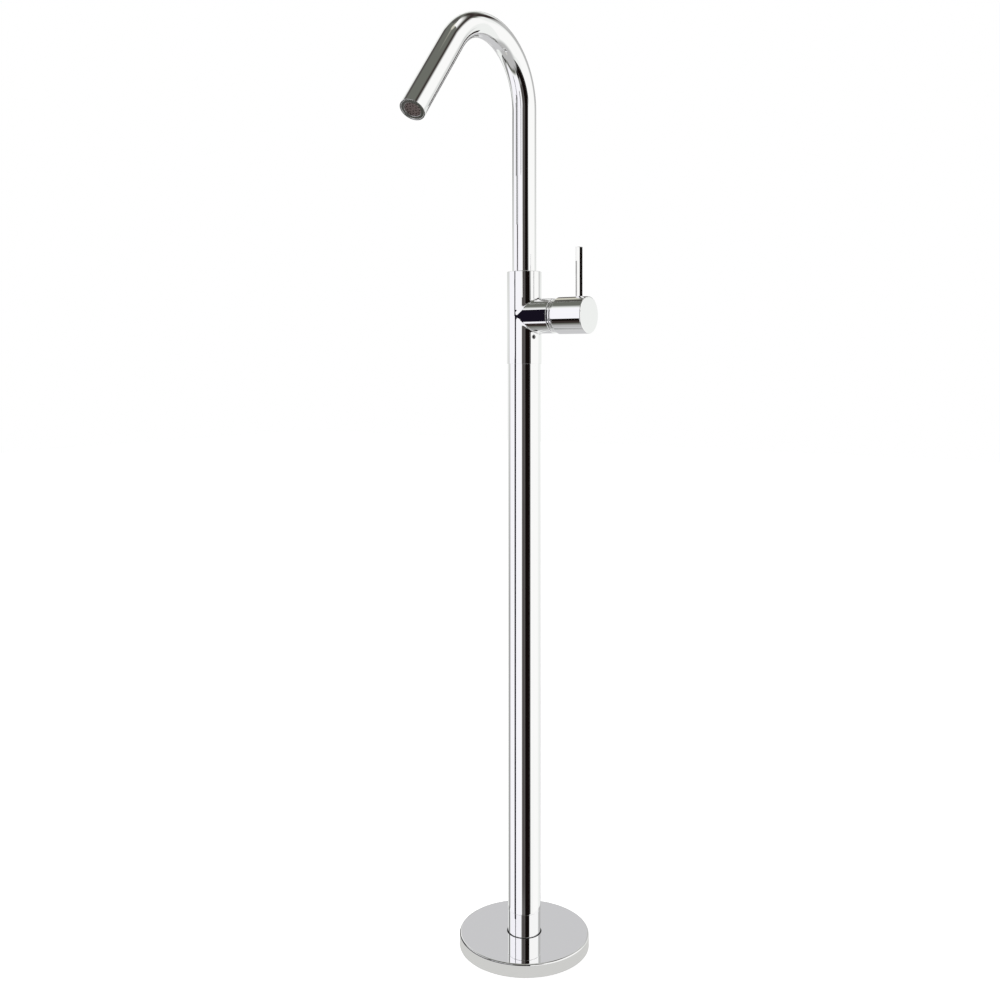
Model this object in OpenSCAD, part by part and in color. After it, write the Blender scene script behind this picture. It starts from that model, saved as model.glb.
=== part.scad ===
// Floor-standing basin mixer with a round column, a side lever and a swivel spout.
// Millimetres. The origin is the centre of the underside, +Z is up.
// The spout points along -Y and the side lever along +X.

/* [Base] */
// Diameter of the round cover plate on the floor
base_d = 150; // [130:1:180]
// Height of the cover plate
base_h = 15; // [14:0.5:22]
// Sheet thickness of the cover plate
base_wall = 2.5; // [2:0.5:3]
// Chamfer round the cover plate's top edge
base_edge = 0.8; // [0.3:0.1:1.5]
// Radial gap between the floor flange and the cover plate's rim
flange_gap = 6.5; // [3:0.5:10]
// Pitch circle of the floor bolt holes
bolt_pcd = 104; // [92:1:106]
// Diameter of the floor bolt holes
bolt_hole_d = 9; // [7:0.5:11]
// Number of floor bolt holes
bolt_count = 4; // [3:1:6]

/* [Foot] */
// Diameter of the foot collar that shows under the column
foot_d = 37.5; // [37:0.5:40]
// Height of the seam between foot and column above the floor
foot_h = 41; // [34:1:60]
// Width of the dark gap between the foot and the cover plate
foot_gap = 1.2; // [0.8:0.1:2]
// Diameter of the foot's bolted flange
foot_flange_d = 64; // [58:1:70]
// Thickness of the foot's bolted flange
foot_flange_t = 4; // [3:0.5:4.5]
// Length of the spigot inside the column
spigot_len = 54; // [30:1:80]
// Number of screws between foot and floor flange
foot_screw_count = 4; // [3:1:6]
// Thread diameter of the foot screws
foot_screw_d = 5; // [4:0.5:5]

/* [Column] */
// Outer diameter of the column
column_d = 38; // [37.5:0.5:39.5]
// Wall of the column
column_wall = 1.5; // [1:0.1:1.6]
// Length of the column tube
column_len = 634; // [400:1:800]
// Thread diameter of the set screws in foot and body
set_screw_d = 5; // [4:0.5:6]

/* [Supply] */
// Diameter of the braided hoses in the column
hose_d = 11; // [9:0.5:11.2]
// Bore of the braided hoses
hose_bore_d = 7; // [6:0.5:7.5]
// Distance between the two hoses' centres
hose_pitch = 15; // [13.5:0.5:15.5]
// Core diameter of the inlet and hose threads
inlet_d = 8.9; // [8:0.1:9.2]
// Depth of each inlet and hose thread
inlet_len = 10; // [8:1:14]
// Height of the inlet block
inlet_block_h = 29; // [27:1:36]
// Diameter of the hexagon on each hose end, across its flats
nipple_hex = 10; // [9.5:0.5:10]

/* [Body] */
// Diameter of the mixer body and of its side branch
body_d = 40; // [39.5:0.1:40.4]
// Height of the mixer body
body_h = 107; // [96:1:130]
// Height of the branch's axis above the bottom of the body
branch_h = 55; // [50:0.5:58]
// Distance from the column's axis to the branch's mouth
branch_len = 41; // [40.5:0.5:44]
// Chamfer on the body's and branch's rims
body_edge = 0.5; // [0.2:0.1:1]
// Metal between the column's socket and the cartridge's chamber
socket_roof = 2; // [1.5:0.5:5]
// Height of the body's set screw above the bottom of the body
set_screw_h = 31; // [8:1:31]
// Direction of the body's set screw, from +X towards -Y
set_screw_turn = 24; // [10:1:60]

/* [Spout] */
// Diameter of the spout tube
spout_d = 28; // [27:0.5:30]
// Wall of the spout tube
spout_wall = 1.5; // [1:0.1:1.8]
// Length of the upright part of the spout
spout_rise = 186.5; // [120:0.5:260]
// Radius of the bend at the tube's centre
bend_r = 79.5; // [60:0.5:110]
// Angle of the bend
bend_angle = 142; // [120:1:165]
// Length of the straight nose after the bend
nose_len = 109; // [60:1:150]
// Metal between the cartridge's chamber and the spout's seat
seat_floor = 6.5; // [4:0.5:8]
// Swing of the spout to each side
swivel_angle = 60; // [20:1:75]

/* [Lever] */
// Diameter of the round cap
cap_d = 42; // [41.6:0.1:44]
// Length of the round cap
cap_len = 38; // [34:0.5:44]
// Wall of the cap
cap_wall = 1.5; // [1.2:0.1:1.7]
// Chamfer round the cap's end
cap_edge = 1; // [0.4:0.1:1.5]
// Thickness of the cap's end wall
cap_end = 3; // [2:0.5:5]
// Diameter of the pin lever
pin_d = 8; // [6:0.1:9]
// Height of the pin lever above the cap
pin_h = 56; // [40:1:80]
// Distance from the cap's rim to the pin lever
pin_offset = 25; // [22:0.5:28]
// Tilt of the lever from shut to fully open
lift_angle = 20; // [10:1:21]

/* [Cartridge] */
// Outer diameter of the cartridge
cartridge_d = 27.8; // [27:0.1:28.4]
// Thickness of the cartridge's base
cartridge_base_t = 4; // [3:0.5:5]
// Thickness of each ceramic disc
disc_t = 3.5; // [3:0.1:4]
// Diameter of the moving ceramic disc
moving_disc_d = 18.6; // [17:0.1:19]
// Distance from the lever's pivot to the spindle's ball
ball_arm = 15; // [14.5:0.1:15.5]
// Diameter of the spindle's ball
ball_d = 5.6; // [5:0.1:5.8]
// Width across the spindle's flats
spindle_w = 7; // [6:0.1:7.4]
// Diameter of the pivot pin
pivot_d = 3; // [2:0.1:3.4]
// Diameter of the rotor's neck
rotor_d = 19.9; // [19:0.1:20.4]
// Thread diameter of the bonnet nut
bonnet_thread_d = 32; // [31:0.1:33]
// Width of the bonnet nut's visible ring
bonnet_ring_w = 3; // [2:0.1:4]
// Width of the trim ring
trim_ring_w = 3.5; // [2:0.1:4]

/* [Aerator] */
// Thread diameter of the aerator
aerator_d = 22; // [20:0.5:22.4]
// Length of the aerator housing
aerator_len = 12; // [9:0.5:16]
// Depth of the aerator's face inside the spout's end
aerator_recess = 1.2; // [0.5:0.1:4]
// Number of holes in the outer ring of the aerator's face
aerator_holes = 12; // [8:1:14]

/* [Hidden] */
$fn = 64;
// Cut overshoot, running clearance in radius, and clearance between fixed pieces in radius
cut = 1;
run = 0.05;
slip = 0.05;
// Clearance between faces that slide or turn past each other
pass = 0.1;

// Base and foot
hub_r = foot_d / 2;
column_r = column_d / 2;
column_bore_r = column_r - column_wall;
cover_gap = 0.5;
floor_flange_t = base_h - base_wall - foot_flange_t - cover_gap;
floor_flange_r = base_d / 2 - base_wall - flange_gap;
foot_top = floor_flange_t + foot_flange_t;
spigot_r = column_bore_r - slip;
spigot_lead = 1;
ferrule_t = 0.4;
ferrule_r = hose_d / 2 + ferrule_t;
core_gap = 0.6;
core_r = hose_pitch / 2 + ferrule_r + core_gap;
seam_edge = 0.3;
turned_edge = 0.5;
seal_t = foot_gap - 2 * run;
seal_h = 1.8;
seal_drop = 0.6;

// Screws, their heads and keys as multiples of the thread's radius
head_ratio = 1.9;
key_ratio = 0.58;
foot_screw_r = foot_screw_d / 2;
foot_screw_pitch_r = (hub_r + foot_flange_d / 2) / 2;
foot_screw_head_r = foot_screw_r * head_ratio;
foot_screw_head_h = foot_screw_head_r - foot_screw_r;
set_screw_r = set_screw_d / 2;
set_screw_sink = 0.4;
set_screw_key_h = 2;
set_screw_tip_edge = 0.6;
set_screw_head_edge = 0.25;
foot_set_screw_h = 12;
foot_set_screw_z = foot_h + foot_set_screw_h;

// Cartridge stations along the branch, measured from the column's axis
chamber_x = 6;
cartridge_r = cartridge_d / 2;
chamber_r = cartridge_r + run;
seal_gap = 0.5;
base_x = chamber_x + seal_gap;
fixed_disc_x = base_x + cartridge_base_t;
moving_disc_x = fixed_disc_x + disc_t;
carrier_x = moving_disc_x + disc_t;
pivot_depth = 5;
pivot_x = branch_len - pivot_depth;
ball_x = pivot_x - ball_arm;
carrier_rise = 2.3;
carrier_top_x = ball_x + carrier_rise;
carrier_plate_t = (carrier_top_x - carrier_x) / 2;
carrier_gap = 0.3;
rotor_x = carrier_top_x + carrier_gap;
rotor_flange_t = 3.6;
housing_lid_x = rotor_x + rotor_flange_t + pass;
housing_lid_t = 4;
nut_x = housing_lid_x + housing_lid_t;
ring_gap = 0.25;
bonnet_x = branch_len + ring_gap;
trim_x = bonnet_x + bonnet_ring_w + ring_gap;
trim_end_x = trim_x + trim_ring_w;
cap_gap = 0.5;
cap_x = trim_end_x + cap_gap;
cap_end_x = cap_x + cap_len;

// Cartridge radii and ports
body_r = body_d / 2;
ring_step = 1;
ring_r = body_r - ring_step;
ring_edge = 0.4;
housing_wall = 1.5;
housing_bore_r = cartridge_r - housing_wall;
rotor_r = rotor_d / 2;
rotor_bore_r = rotor_r + run;
neck_wall = 1.35;
neck_r = rotor_bore_r + neck_wall;
nut_room = 0.2;
nut_bore_r = neck_r + nut_room;
nut_r = bonnet_thread_d / 2;
nut_hole_r = nut_r + run;
rotor_stand = 2.5;
rotor_end_x = branch_len + rotor_stand;
neck_stand = 4;
neck_end_x = branch_len + neck_stand;
rotor_flange_r = housing_bore_r - pass;
port_y = hose_pitch / 2;
port_r = 2.8;
port_lap = 0.3;
inlet_up = 5;
outlet_down = 7;
outlet_back = 6;
outlet_r = 3.2;
seal_wall = 1.3;
seal_len = 1.5;
travel = ball_arm * lift_angle * PI / 180;
disc_rest = -travel / 2;
moving_disc_r = moving_disc_d / 2;
disc_hollow_r = moving_disc_r - 3.5;
rail_y = 7.1;
rail_lap = 0.5;
ball_room = 0.2;
ball_neck_r = ball_d * 0.36;
slot_half = ball_arm * sin(lift_angle) + ball_d / 2 + ball_room;
slot_y = spindle_w / 2 + pass;
pivot_r = pivot_d / 2;
pivot_sink = 0.6;
rotor_seal_r = 0.4;
rotor_seal_in = 1.5;
rotor_seal_x = nut_x + rotor_seal_in;

// Body and branch
body_z = foot_h + column_len;
body_top = body_z + body_h;
branch_z = body_z + branch_h;
body_socket = branch_h - chamber_r - socket_roof;
socket_step = 1;
socket_r = column_bore_r - socket_step;
adapter_r = socket_r - slip;
adapter_drop = 35;
set_screw_z = body_z + set_screw_h;

// Supply, with holes a little deeper than the threads in them
inlet_r = inlet_d / 2;
inlet_block_z = 3;
inlet_collar = 2.5;
inlet_room = 0.5;
inlet_hole_r = core_r + inlet_collar + inlet_room;
duct_step = 0.7;
inlet_duct_r = hose_bore_d / 2 - duct_step;
nipple_t = 3;
nipple_tail = 12;
nipple_spare = 3;
nipple_thread = inlet_len - nipple_spare;
body_spare = 2;
body_thread = inlet_len - body_spare;
nipple_wall = 1.2;
ferrule_len = 14;
hose_bottom = inlet_block_z + inlet_block_h + nipple_t;
hose_top = foot_h + column_len + body_socket - nipple_t;

// Lever
cap_r = cap_d / 2;
cap_bore_r = cap_r - cap_wall;
cap_rim_edge = 0.25;
hub_depth = 6;
hub_x = cap_x + hub_depth;
hub_wall = 4;
cap_hub_r = spindle_w / 2 * sqrt(2) + hub_wall;
spindle_stop = 8;
spindle_end_x = cap_end_x - spindle_stop;
pin_x = cap_x + pin_offset;
pin_r = pin_d / 2;
boss_wall = 2;
pin_boss_r = pin_r + boss_wall;
pin_thread_ratio = 0.67;
pin_thread_r = pin_r * pin_thread_ratio;
pin_tip_edge = 0.4;

// Spout
spout_r = spout_d / 2;
spout_bore_r = spout_r - spout_wall;
// Drawing the tube round the bend thins its wall a little on each side
bend_thin = 0.05;
bend_lap = 0.3;
slide_t = 0.5;
slide_edge = 0.4;
spout_z = body_top + slide_t;
seat_step = 0.5;
seat_r = spout_bore_r - seat_step;
seat_z = branch_z + chamber_r + seat_floor;
seat_spare = 1;
tail_r = seat_r - run;
tail_plug_r = spout_bore_r - slip;
tail_plug_h = 24;
tail_wall = 3.5;
tail_bore_r = seat_r - tail_wall;
tail_z = seat_z + seat_spare;
tail_len = body_top - tail_z;
stop_h = 9;
stop_groove_w = 4;
stop_groove_d = 1.8;
stop_dog_r = 1.5;
stop_dog_room = 0.3;
stop_room = asin(stop_dog_r / (tail_r - stop_groove_d)) + 1;
o_ring_r = 0.75;
o_ring_count = 2;
o_ring_step = (tail_len - stop_h - stop_groove_w / 2) / (o_ring_count + 1);

// Aerator
aerator_r = aerator_d / 2;
nose_bush_spare = 5;
nose_bush_len = aerator_len + nose_bush_spare;
nose_bush_r = spout_bore_r - slip;
nose_edge = 0.4;
aerator_wall = 1.2;
aerator_lip = 0.8;
insert_r = aerator_r - aerator_wall - slip;
insert_t = 7;
gasket_t = 1.5;
gasket_w = 3;
hole_r = 0.75;
hole_ring_pitch = 3.5;

// Shared shapes

// A ring or sleeve of rectangular section standing on z = 0
module sleeve(outer_r, inner_r, h) {
    difference() {
        cylinder(r = outer_r, h = h);
        translate([0, 0, -cut]) cylinder(r = inner_r, h = h + 2 * cut);
    }
}

// A round bar from z = 0 with a chamfer round each end
module chamfered_bar(r, h, low_edge, high_edge) {
    rotate_extrude()
        polygon([
            [0, 0], [r - low_edge, 0], [r, low_edge],
            [r, h - high_edge], [r - high_edge, h], [0, h]
        ]);
}

// A sealing ring of round section, its middle at z = 0
module o_ring(ring_mid_r, section_r) {
    rotate_extrude() translate([ring_mid_r, 0]) circle(r = section_r, $fn = 24);
}

// Turns a piece made upright so that its axis runs along the branch
module on_branch(x) {
    translate([x, 0, branch_z]) rotate([0, 90, 0]) children();
}

// Places a piece at each of the two hoses
module at_hoses() {
    for (side = [-1, 1]) translate([0, side * port_y, 0]) children();
}

// The cartridge's three ports, as seen along the branch: hot, cold and mixed
module at_inlets() {
    for (side = [-1, 1]) translate([-inlet_up, side * port_y, 0]) children();
}

module at_outlet() {
    translate([outlet_down, 0, 0]) children();
}

// A set screw with a hexagon socket, its tip at z = 0 and its head up
module set_screw(r, h) {
    difference() {
        chamfered_bar(r, h, set_screw_tip_edge, set_screw_head_edge);
        translate([0, 0, h - set_screw_key_h])
            cylinder(r = r * key_ratio, h = set_screw_key_h + cut, $fn = 6);
    }
}

// The direction in which the body's set screw points
module at_body_set_screw(r) {
    translate([0, 0, set_screw_z]) rotate([0, 90, -set_screw_turn]) translate([0, 0, r])
        children();
}

// The direction of the screws at the back
module at_back(z, r) {
    translate([0, r, z]) rotate([-90, 0, 0]) children();
}

// Places a piece at the spout's outlet, its z axis pointing back up the nose
module at_outlet_end() {
    translate([0, -bend_r, spout_z + spout_rise]) rotate([bend_angle, 0, 0])
        translate([0, bend_r, nose_len]) rotate([180, 0, 0]) children();
}

// Base and foot

module base_cover() {
    rim_r = base_d / 2;
    bore_r = rim_r - base_wall;
    hole_r = hub_r + foot_gap;
    color("silver")
        rotate_extrude($fn = 96)
            polygon([
                [hole_r, base_h - base_wall], [bore_r, base_h - base_wall], [bore_r, 0],
                [rim_r, 0], [rim_r, base_h - base_edge], [rim_r - base_edge, base_h],
                [hole_r, base_h]
            ]);
}

module cover_seal() {
    color("black")
        translate([0, 0, base_h - seal_drop - seal_h])
            sleeve(hub_r + foot_gap - run, hub_r + foot_gap - run - seal_t, seal_h);
}

module at_foot_screws() {
    for (i = [0 : foot_screw_count - 1])
        rotate([0, 0, 360 / foot_screw_count * (i + 0.5)])
            translate([foot_screw_pitch_r, 0, 0]) children();
}

module floor_flange() {
    color("gainsboro")
        difference() {
            chamfered_bar(floor_flange_r, floor_flange_t, seam_edge, turned_edge);
            translate([0, 0, -cut]) cylinder(r = inlet_hole_r, h = floor_flange_t + 2 * cut);
            for (i = [0 : bolt_count - 1])
                rotate([0, 0, 360 / bolt_count * i]) translate([bolt_pcd / 2, 0, -cut])
                    cylinder(d = bolt_hole_d, h = floor_flange_t + 2 * cut);
            at_foot_screws()
                translate([0, 0, -cut]) cylinder(r = foot_screw_r, h = floor_flange_t + 2 * cut);
        }
}

module foot_spigot() {
    top = foot_h + spigot_len;
    color("silver")
        difference() {
            rotate_extrude()
                polygon([
                    [core_r, floor_flange_t], [foot_flange_d / 2, floor_flange_t],
                    [foot_flange_d / 2, foot_top], [hub_r, foot_top], [hub_r, foot_h - seam_edge],
                    [hub_r - seam_edge, foot_h], [spigot_r, foot_h], [spigot_r, top - spigot_lead],
                    [spigot_r - spigot_lead, top], [core_r, top]
                ]);
            at_foot_screws() {
                translate([0, 0, floor_flange_t - cut])
                    cylinder(r = foot_screw_r + pass, h = foot_flange_t + 2 * cut);
                translate([0, 0, foot_top - foot_screw_head_h - pass])
                    cylinder(r1 = foot_screw_r, r2 = foot_screw_head_r + cut,
                        h = foot_screw_head_h + cut);
            }
            at_back(foot_set_screw_z, 0)
                cylinder(r = set_screw_r, h = spigot_r + cut);
        }
}

module foot_screws() {
    color("dimgray")
        at_foot_screws()
            difference() {
                rotate_extrude()
                    polygon([
                        [0, cut], [foot_screw_r - slip - turned_edge, cut],
                        [foot_screw_r - slip, cut + turned_edge],
                        [foot_screw_r - slip, foot_top - pass - foot_screw_head_h],
                        [foot_screw_head_r - slip, foot_top - pass], [0, foot_top - pass]
                    ]);
                translate([0, 0, foot_top - foot_screw_head_h])
                    cylinder(r = foot_screw_r * key_ratio, h = foot_screw_head_h + cut, $fn = 6);
            }
}

module inlet_block() {
    top = inlet_block_z + inlet_block_h;
    color("darkgoldenrod")
        difference() {
            union() {
                translate([0, 0, inlet_block_z]) cylinder(r = core_r - slip, h = inlet_block_h);
                translate([0, 0, inlet_block_z])
                    cylinder(r = core_r + inlet_collar, h = floor_flange_t - inlet_block_z);
            }
            at_hoses() {
                translate([0, 0, inlet_block_z - cut])
                    cylinder(r = inlet_r, h = inlet_len + cut);
                translate([0, 0, inlet_block_z]) cylinder(r = inlet_duct_r, h = inlet_block_h);
                translate([0, 0, top - inlet_len]) cylinder(r = inlet_r, h = inlet_len + cut);
            }
        }
}

module column_set_screw() {
    color("dimgray")
        at_back(foot_set_screw_z, core_r + pass)
            set_screw(set_screw_r - slip, column_r - set_screw_sink - core_r - pass);
}

// Column and supply

module column_tube() {
    color("silver")
        difference() {
            translate([0, 0, foot_h])
                rotate_extrude()
                    polygon([
                        [column_bore_r, 0], [column_r - seam_edge, 0], [column_r, seam_edge],
                        [column_r, column_len], [column_bore_r, column_len]
                    ]);
            at_back(foot_set_screw_z, column_bore_r - cut)
                cylinder(r = set_screw_r, h = column_wall + 2 * cut);
        }
}

module hose() {
    difference() {
        union() {
            translate([0, 0, hose_bottom]) cylinder(r = hose_d / 2, h = hose_top - hose_bottom);
            for (z = [hose_bottom, hose_top - ferrule_len])
                translate([0, 0, z])
                    chamfered_bar(ferrule_r, ferrule_len, turned_edge, turned_edge);
        }
        translate([0, 0, hose_bottom - cut])
            cylinder(r = hose_bore_d / 2, h = hose_top - hose_bottom + 2 * cut);
    }
}

module hot_hose() {
    color("lightslategray") translate([0, port_y, 0]) hose();
}

module cold_hose() {
    color("lightslategray") translate([0, -port_y, 0]) hose();
}

// A threaded hose end: thread below z = 0, hexagon above it, then the tail inside the hose
module nipple() {
    difference() {
        union() {
            translate([0, 0, -nipple_thread]) cylinder(r = inlet_r - slip, h = nipple_thread);
            cylinder(d = nipple_hex / cos(30), h = nipple_t, $fn = 6);
            cylinder(r = hose_bore_d / 2 - slip, h = nipple_t + nipple_tail);
        }
        translate([0, 0, -nipple_thread - cut])
            cylinder(r = hose_bore_d / 2 - nipple_wall,
                h = nipple_thread + nipple_t + nipple_tail + 2 * cut);
    }
}

module hose_nipples() {
    color("darkgoldenrod")
        at_hoses() {
            translate([0, 0, hose_bottom - nipple_t]) nipple();
            translate([0, 0, hose_top + nipple_t]) mirror([0, 0, 1]) nipple();
        }
}

module column_adapter() {
    low = body_z - adapter_drop;
    high = body_z + body_socket - seal_gap;
    color("darkgoldenrod")
        difference() {
            rotate_extrude()
                polygon([
                    [core_r, low], [spigot_r - spigot_lead, low], [spigot_r, low + spigot_lead],
                    [spigot_r, body_z], [adapter_r, body_z], [adapter_r, high - spigot_lead],
                    [adapter_r - spigot_lead, high], [core_r, high]
                ]);
            at_body_set_screw(0) cylinder(r = set_screw_r, h = adapter_r + cut);
        }
}

// Mixer body

module mixer_body() {
    color("silver")
        difference() {
            union() {
                translate([0, 0, body_z]) chamfered_bar(body_r, body_h, body_edge / 2, body_edge);
                on_branch(0) chamfered_bar(body_r, branch_len, 0, body_edge);
            }
            translate([0, 0, body_z - cut]) cylinder(r = socket_r, h = body_socket + cut);
            at_hoses() {
                translate([0, 0, body_z + body_socket - cut])
                    cylinder(r = inlet_r, h = body_thread + cut);
                translate([0, 0, body_z + body_socket])
                    cylinder(r = port_r, h = branch_h - body_socket + inlet_up + cut);
            }
            on_branch(0) at_inlets() cylinder(r = port_r, h = chamber_x + cut);
            on_branch(-outlet_back) at_outlet()
                cylinder(r = outlet_r, h = outlet_back + chamber_x + cut);
            translate([-outlet_back, 0, branch_z - outlet_down])
                cylinder(r = outlet_r, h = seat_z - branch_z + outlet_down + cut);
            on_branch(chamber_x) cylinder(r = chamber_r, h = branch_len);
            on_branch(nut_x) cylinder(r = nut_hole_r, h = branch_len);
            translate([0, 0, seat_z]) cylinder(r = seat_r, h = body_top - seat_z + cut);
            at_body_set_screw(0) cylinder(r = set_screw_r, h = body_r + cut);
            at_back(body_top - stop_h, 0) cylinder(r = set_screw_r, h = body_r + cut);
        }
}

module body_set_screw() {
    tip_r = core_r + pass;
    color("dimgray")
        at_body_set_screw(tip_r) set_screw(set_screw_r - slip, body_r - set_screw_sink - tip_r);
}

// The screw's dog point runs in the groove of the spout's tail
module stop_screw() {
    dog_tip_r = tail_r - stop_groove_d + stop_dog_room;
    color("dimgray") {
        at_back(body_top - stop_h, seat_r + pass)
            set_screw(set_screw_r - slip, body_r - set_screw_sink - seat_r - pass);
        at_back(body_top - stop_h, dog_tip_r)
            cylinder(r = stop_dog_r, h = seat_r + pass - dog_tip_r + set_screw_tip_edge);
    }
}

module slide_ring() {
    color("whitesmoke")
        translate([0, 0, body_top]) sleeve(spout_r - slide_edge, seat_r + run, slide_t);
}

// Cartridge, fixed pieces

module port_seals() {
    color("black")
        on_branch(chamber_x) {
            at_inlets() sleeve(port_r + seal_wall, port_r, seal_len);
            at_outlet() sleeve(outlet_r + seal_wall, outlet_r, seal_len);
        }
}

module cartridge_base() {
    recess = seal_len - seal_gap;
    color("ivory")
        on_branch(base_x)
            difference() {
                cylinder(r = cartridge_r, h = cartridge_base_t);
                at_inlets() {
                    translate([0, 0, -cut]) cylinder(r = port_r, h = cartridge_base_t + 2 * cut);
                    translate([0, 0, -cut]) cylinder(r = port_r + seal_wall + slip, h = recess + cut);
                }
                at_outlet() {
                    translate([0, 0, -cut]) cylinder(r = outlet_r, h = cartridge_base_t + 2 * cut);
                    translate([0, 0, -cut])
                        cylinder(r = outlet_r + seal_wall + slip, h = recess + cut);
                }
            }
}

module fixed_disc() {
    color("white")
        on_branch(fixed_disc_x)
            difference() {
                cylinder(r = housing_bore_r - slip, h = disc_t);
                at_inlets() translate([0, 0, -cut])
                    cylinder(r = port_r - port_lap, h = disc_t + 2 * cut);
                at_outlet() translate([0, 0, -cut]) cylinder(r = outlet_r, h = disc_t + 2 * cut);
            }
}

module cartridge_housing() {
    color("ivory")
        on_branch(0)
            rotate_extrude()
                polygon([
                    [housing_bore_r, fixed_disc_x], [cartridge_r, fixed_disc_x],
                    [cartridge_r, nut_x], [neck_r, nut_x], [neck_r, neck_end_x],
                    [rotor_bore_r, neck_end_x], [rotor_bore_r, housing_lid_x],
                    [housing_bore_r, housing_lid_x]
                ]);
}

module bonnet_nut() {
    color("silver")
        on_branch(0)
            rotate_extrude()
                polygon([
                    [nut_bore_r, nut_x], [nut_r, nut_x], [nut_r, bonnet_x],
                    [ring_r - ring_edge, bonnet_x], [ring_r, bonnet_x + ring_edge],
                    [ring_r, bonnet_x + bonnet_ring_w - ring_edge],
                    [ring_r - ring_edge, bonnet_x + bonnet_ring_w],
                    [nut_bore_r, bonnet_x + bonnet_ring_w]
                ]);
}

module trim_ring() {
    color("silver")
        on_branch(0)
            rotate_extrude()
                polygon([
                    [neck_r + run, trim_x], [ring_r - ring_edge, trim_x],
                    [ring_r, trim_x + ring_edge], [ring_r, trim_end_x - ring_edge],
                    [ring_r - ring_edge, trim_end_x], [neck_r + run, trim_end_x]
                ]);
}

// Cartridge, moving pieces

// The disc's hollow joins the hot and cold ports to the outlet when it moves up
module moving_disc() {
    color("white")
        on_branch(moving_disc_x) translate([-disc_rest, 0, 0])
            difference() {
                cylinder(r = moving_disc_r, h = disc_t);
                translate([0, 0, -cut]) cylinder(r = disc_hollow_r, h = disc_t / 2 + cut);
            }
}

module disc_carrier() {
    color("ivory")
        on_branch(0) translate([-disc_rest, 0, 0])
            difference() {
                union() {
                    translate([0, 0, carrier_x]) cylinder(r = moving_disc_r, h = carrier_plate_t);
                    translate([-rail_y + pass, -rail_y + pass, carrier_x])
                        cube([2 * (rail_y - pass), 2 * (rail_y - pass), carrier_top_x - carrier_x]);
                }
                translate([disc_rest, 0, ball_x - ball_d / 2 - ball_room])
                    cylinder(r = ball_d / 2 + ball_room + slip, h = carrier_top_x);
            }
}

module rotor() {
    rail_x = carrier_x + carrier_plate_t + pass;
    color("ivory")
        on_branch(0)
            difference() {
                union() {
                    translate([0, 0, rail_x])
                        cylinder(r = rotor_flange_r, h = rotor_x - rail_x + rail_lap);
                    translate([0, 0, rotor_x]) cylinder(r = rotor_flange_r, h = rotor_flange_t);
                    translate([0, 0, rotor_x]) cylinder(r = rotor_r, h = rotor_end_x - rotor_x);
                }
                translate([-cartridge_r, -rail_y, rail_x - cut])
                    cube([2 * cartridge_r, 2 * rail_y, rotor_x - rail_x + cut]);
                translate([-slot_half, -slot_y, rotor_x - cut])
                    cube([2 * slot_half, 2 * slot_y, rotor_end_x]);
                translate([0, 0, pivot_x]) rotate([90, 0, 0])
                    cylinder(r = pivot_r + run, h = 2 * cartridge_r, center = true);
                translate([0, 0, rotor_seal_x]) o_ring(rotor_r - rotor_seal_r, rotor_seal_r + slip);
            }
}

module rotor_seal() {
    color("black") on_branch(rotor_seal_x) o_ring(rotor_r - rotor_seal_r, rotor_seal_r);
}

module pivot_pin() {
    color("dimgray")
        translate([pivot_x, 0, branch_z]) rotate([90, 0, 0])
            cylinder(r = pivot_r, h = 2 * (rotor_r - pivot_sink), center = true);
}

// The spindle's ball moves the disc carrier, its square end holds the cap
module lever_spindle() {
    color("gray")
        on_branch(0)
            difference() {
                union() {
                    translate([0, 0, ball_x]) sphere(r = ball_d / 2, $fn = 32);
                    translate([0, 0, ball_x]) cylinder(r = ball_neck_r, h = pivot_x - ball_x);
                    translate([-spindle_w / 2, -spindle_w / 2, pivot_x - spindle_w / 2])
                        cube([spindle_w, spindle_w, spindle_end_x - pivot_x + spindle_w / 2]);
                }
                translate([0, 0, pivot_x]) rotate([90, 0, 0])
                    cylinder(r = pivot_r + run, h = spindle_w + 2 * cut, center = true);
            }
}

module lever_cap() {
    socket_w = spindle_w + 2 * slip;
    color("silver")
        difference() {
            union() {
                difference() {
                    on_branch(cap_x) chamfered_bar(cap_r, cap_len, cap_rim_edge, cap_edge);
                    on_branch(cap_x - cut)
                        cylinder(r = cap_bore_r, h = cap_len - cap_end + cut);
                }
                on_branch(hub_x) cylinder(r = cap_hub_r, h = cap_end_x - hub_x - cap_end / 2);
                translate([pin_x, 0, branch_z])
                    cylinder(r = pin_boss_r, h = cap_bore_r + cap_wall / 3);
            }
            on_branch(hub_x - cut) translate([-socket_w / 2, -socket_w / 2, 0])
                cube([socket_w, socket_w, spindle_end_x - hub_x + cut + slip]);
            translate([pin_x, 0, branch_z]) cylinder(r = pin_thread_r + slip, h = cap_r + cut);
            translate([pin_x, 0, branch_z + cap_r - cap_wall])
                cylinder(r = pin_r + slip, h = cap_wall + cut);
        }
}

module lever_pin() {
    foot_z = cap_r - cap_wall;
    color("silver")
        translate([pin_x, 0, branch_z]) {
            translate([0, 0, spindle_w / 2]) cylinder(r = pin_thread_r, h = foot_z - spindle_w / 2 + 1);
            translate([0, 0, foot_z])
                chamfered_bar(pin_r, pin_h + cap_wall, pin_tip_edge, pin_tip_edge);
        }
}

// Spout

module spout_tube() {
    color("silver") {
        translate([0, 0, spout_z]) sleeve(spout_r, spout_bore_r, spout_rise);
        translate([0, -bend_r, spout_z + spout_rise]) rotate([90, 0, 90])
            rotate_extrude(angle = bend_angle, $fn = 128)
                translate([bend_r, 0])
                    difference() {
                        circle(r = spout_r - bend_thin);
                        circle(r = spout_bore_r + bend_thin);
                    }
        at_outlet_end() sleeve(spout_r, spout_bore_r, nose_len + bend_lap);
    }
}

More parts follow.
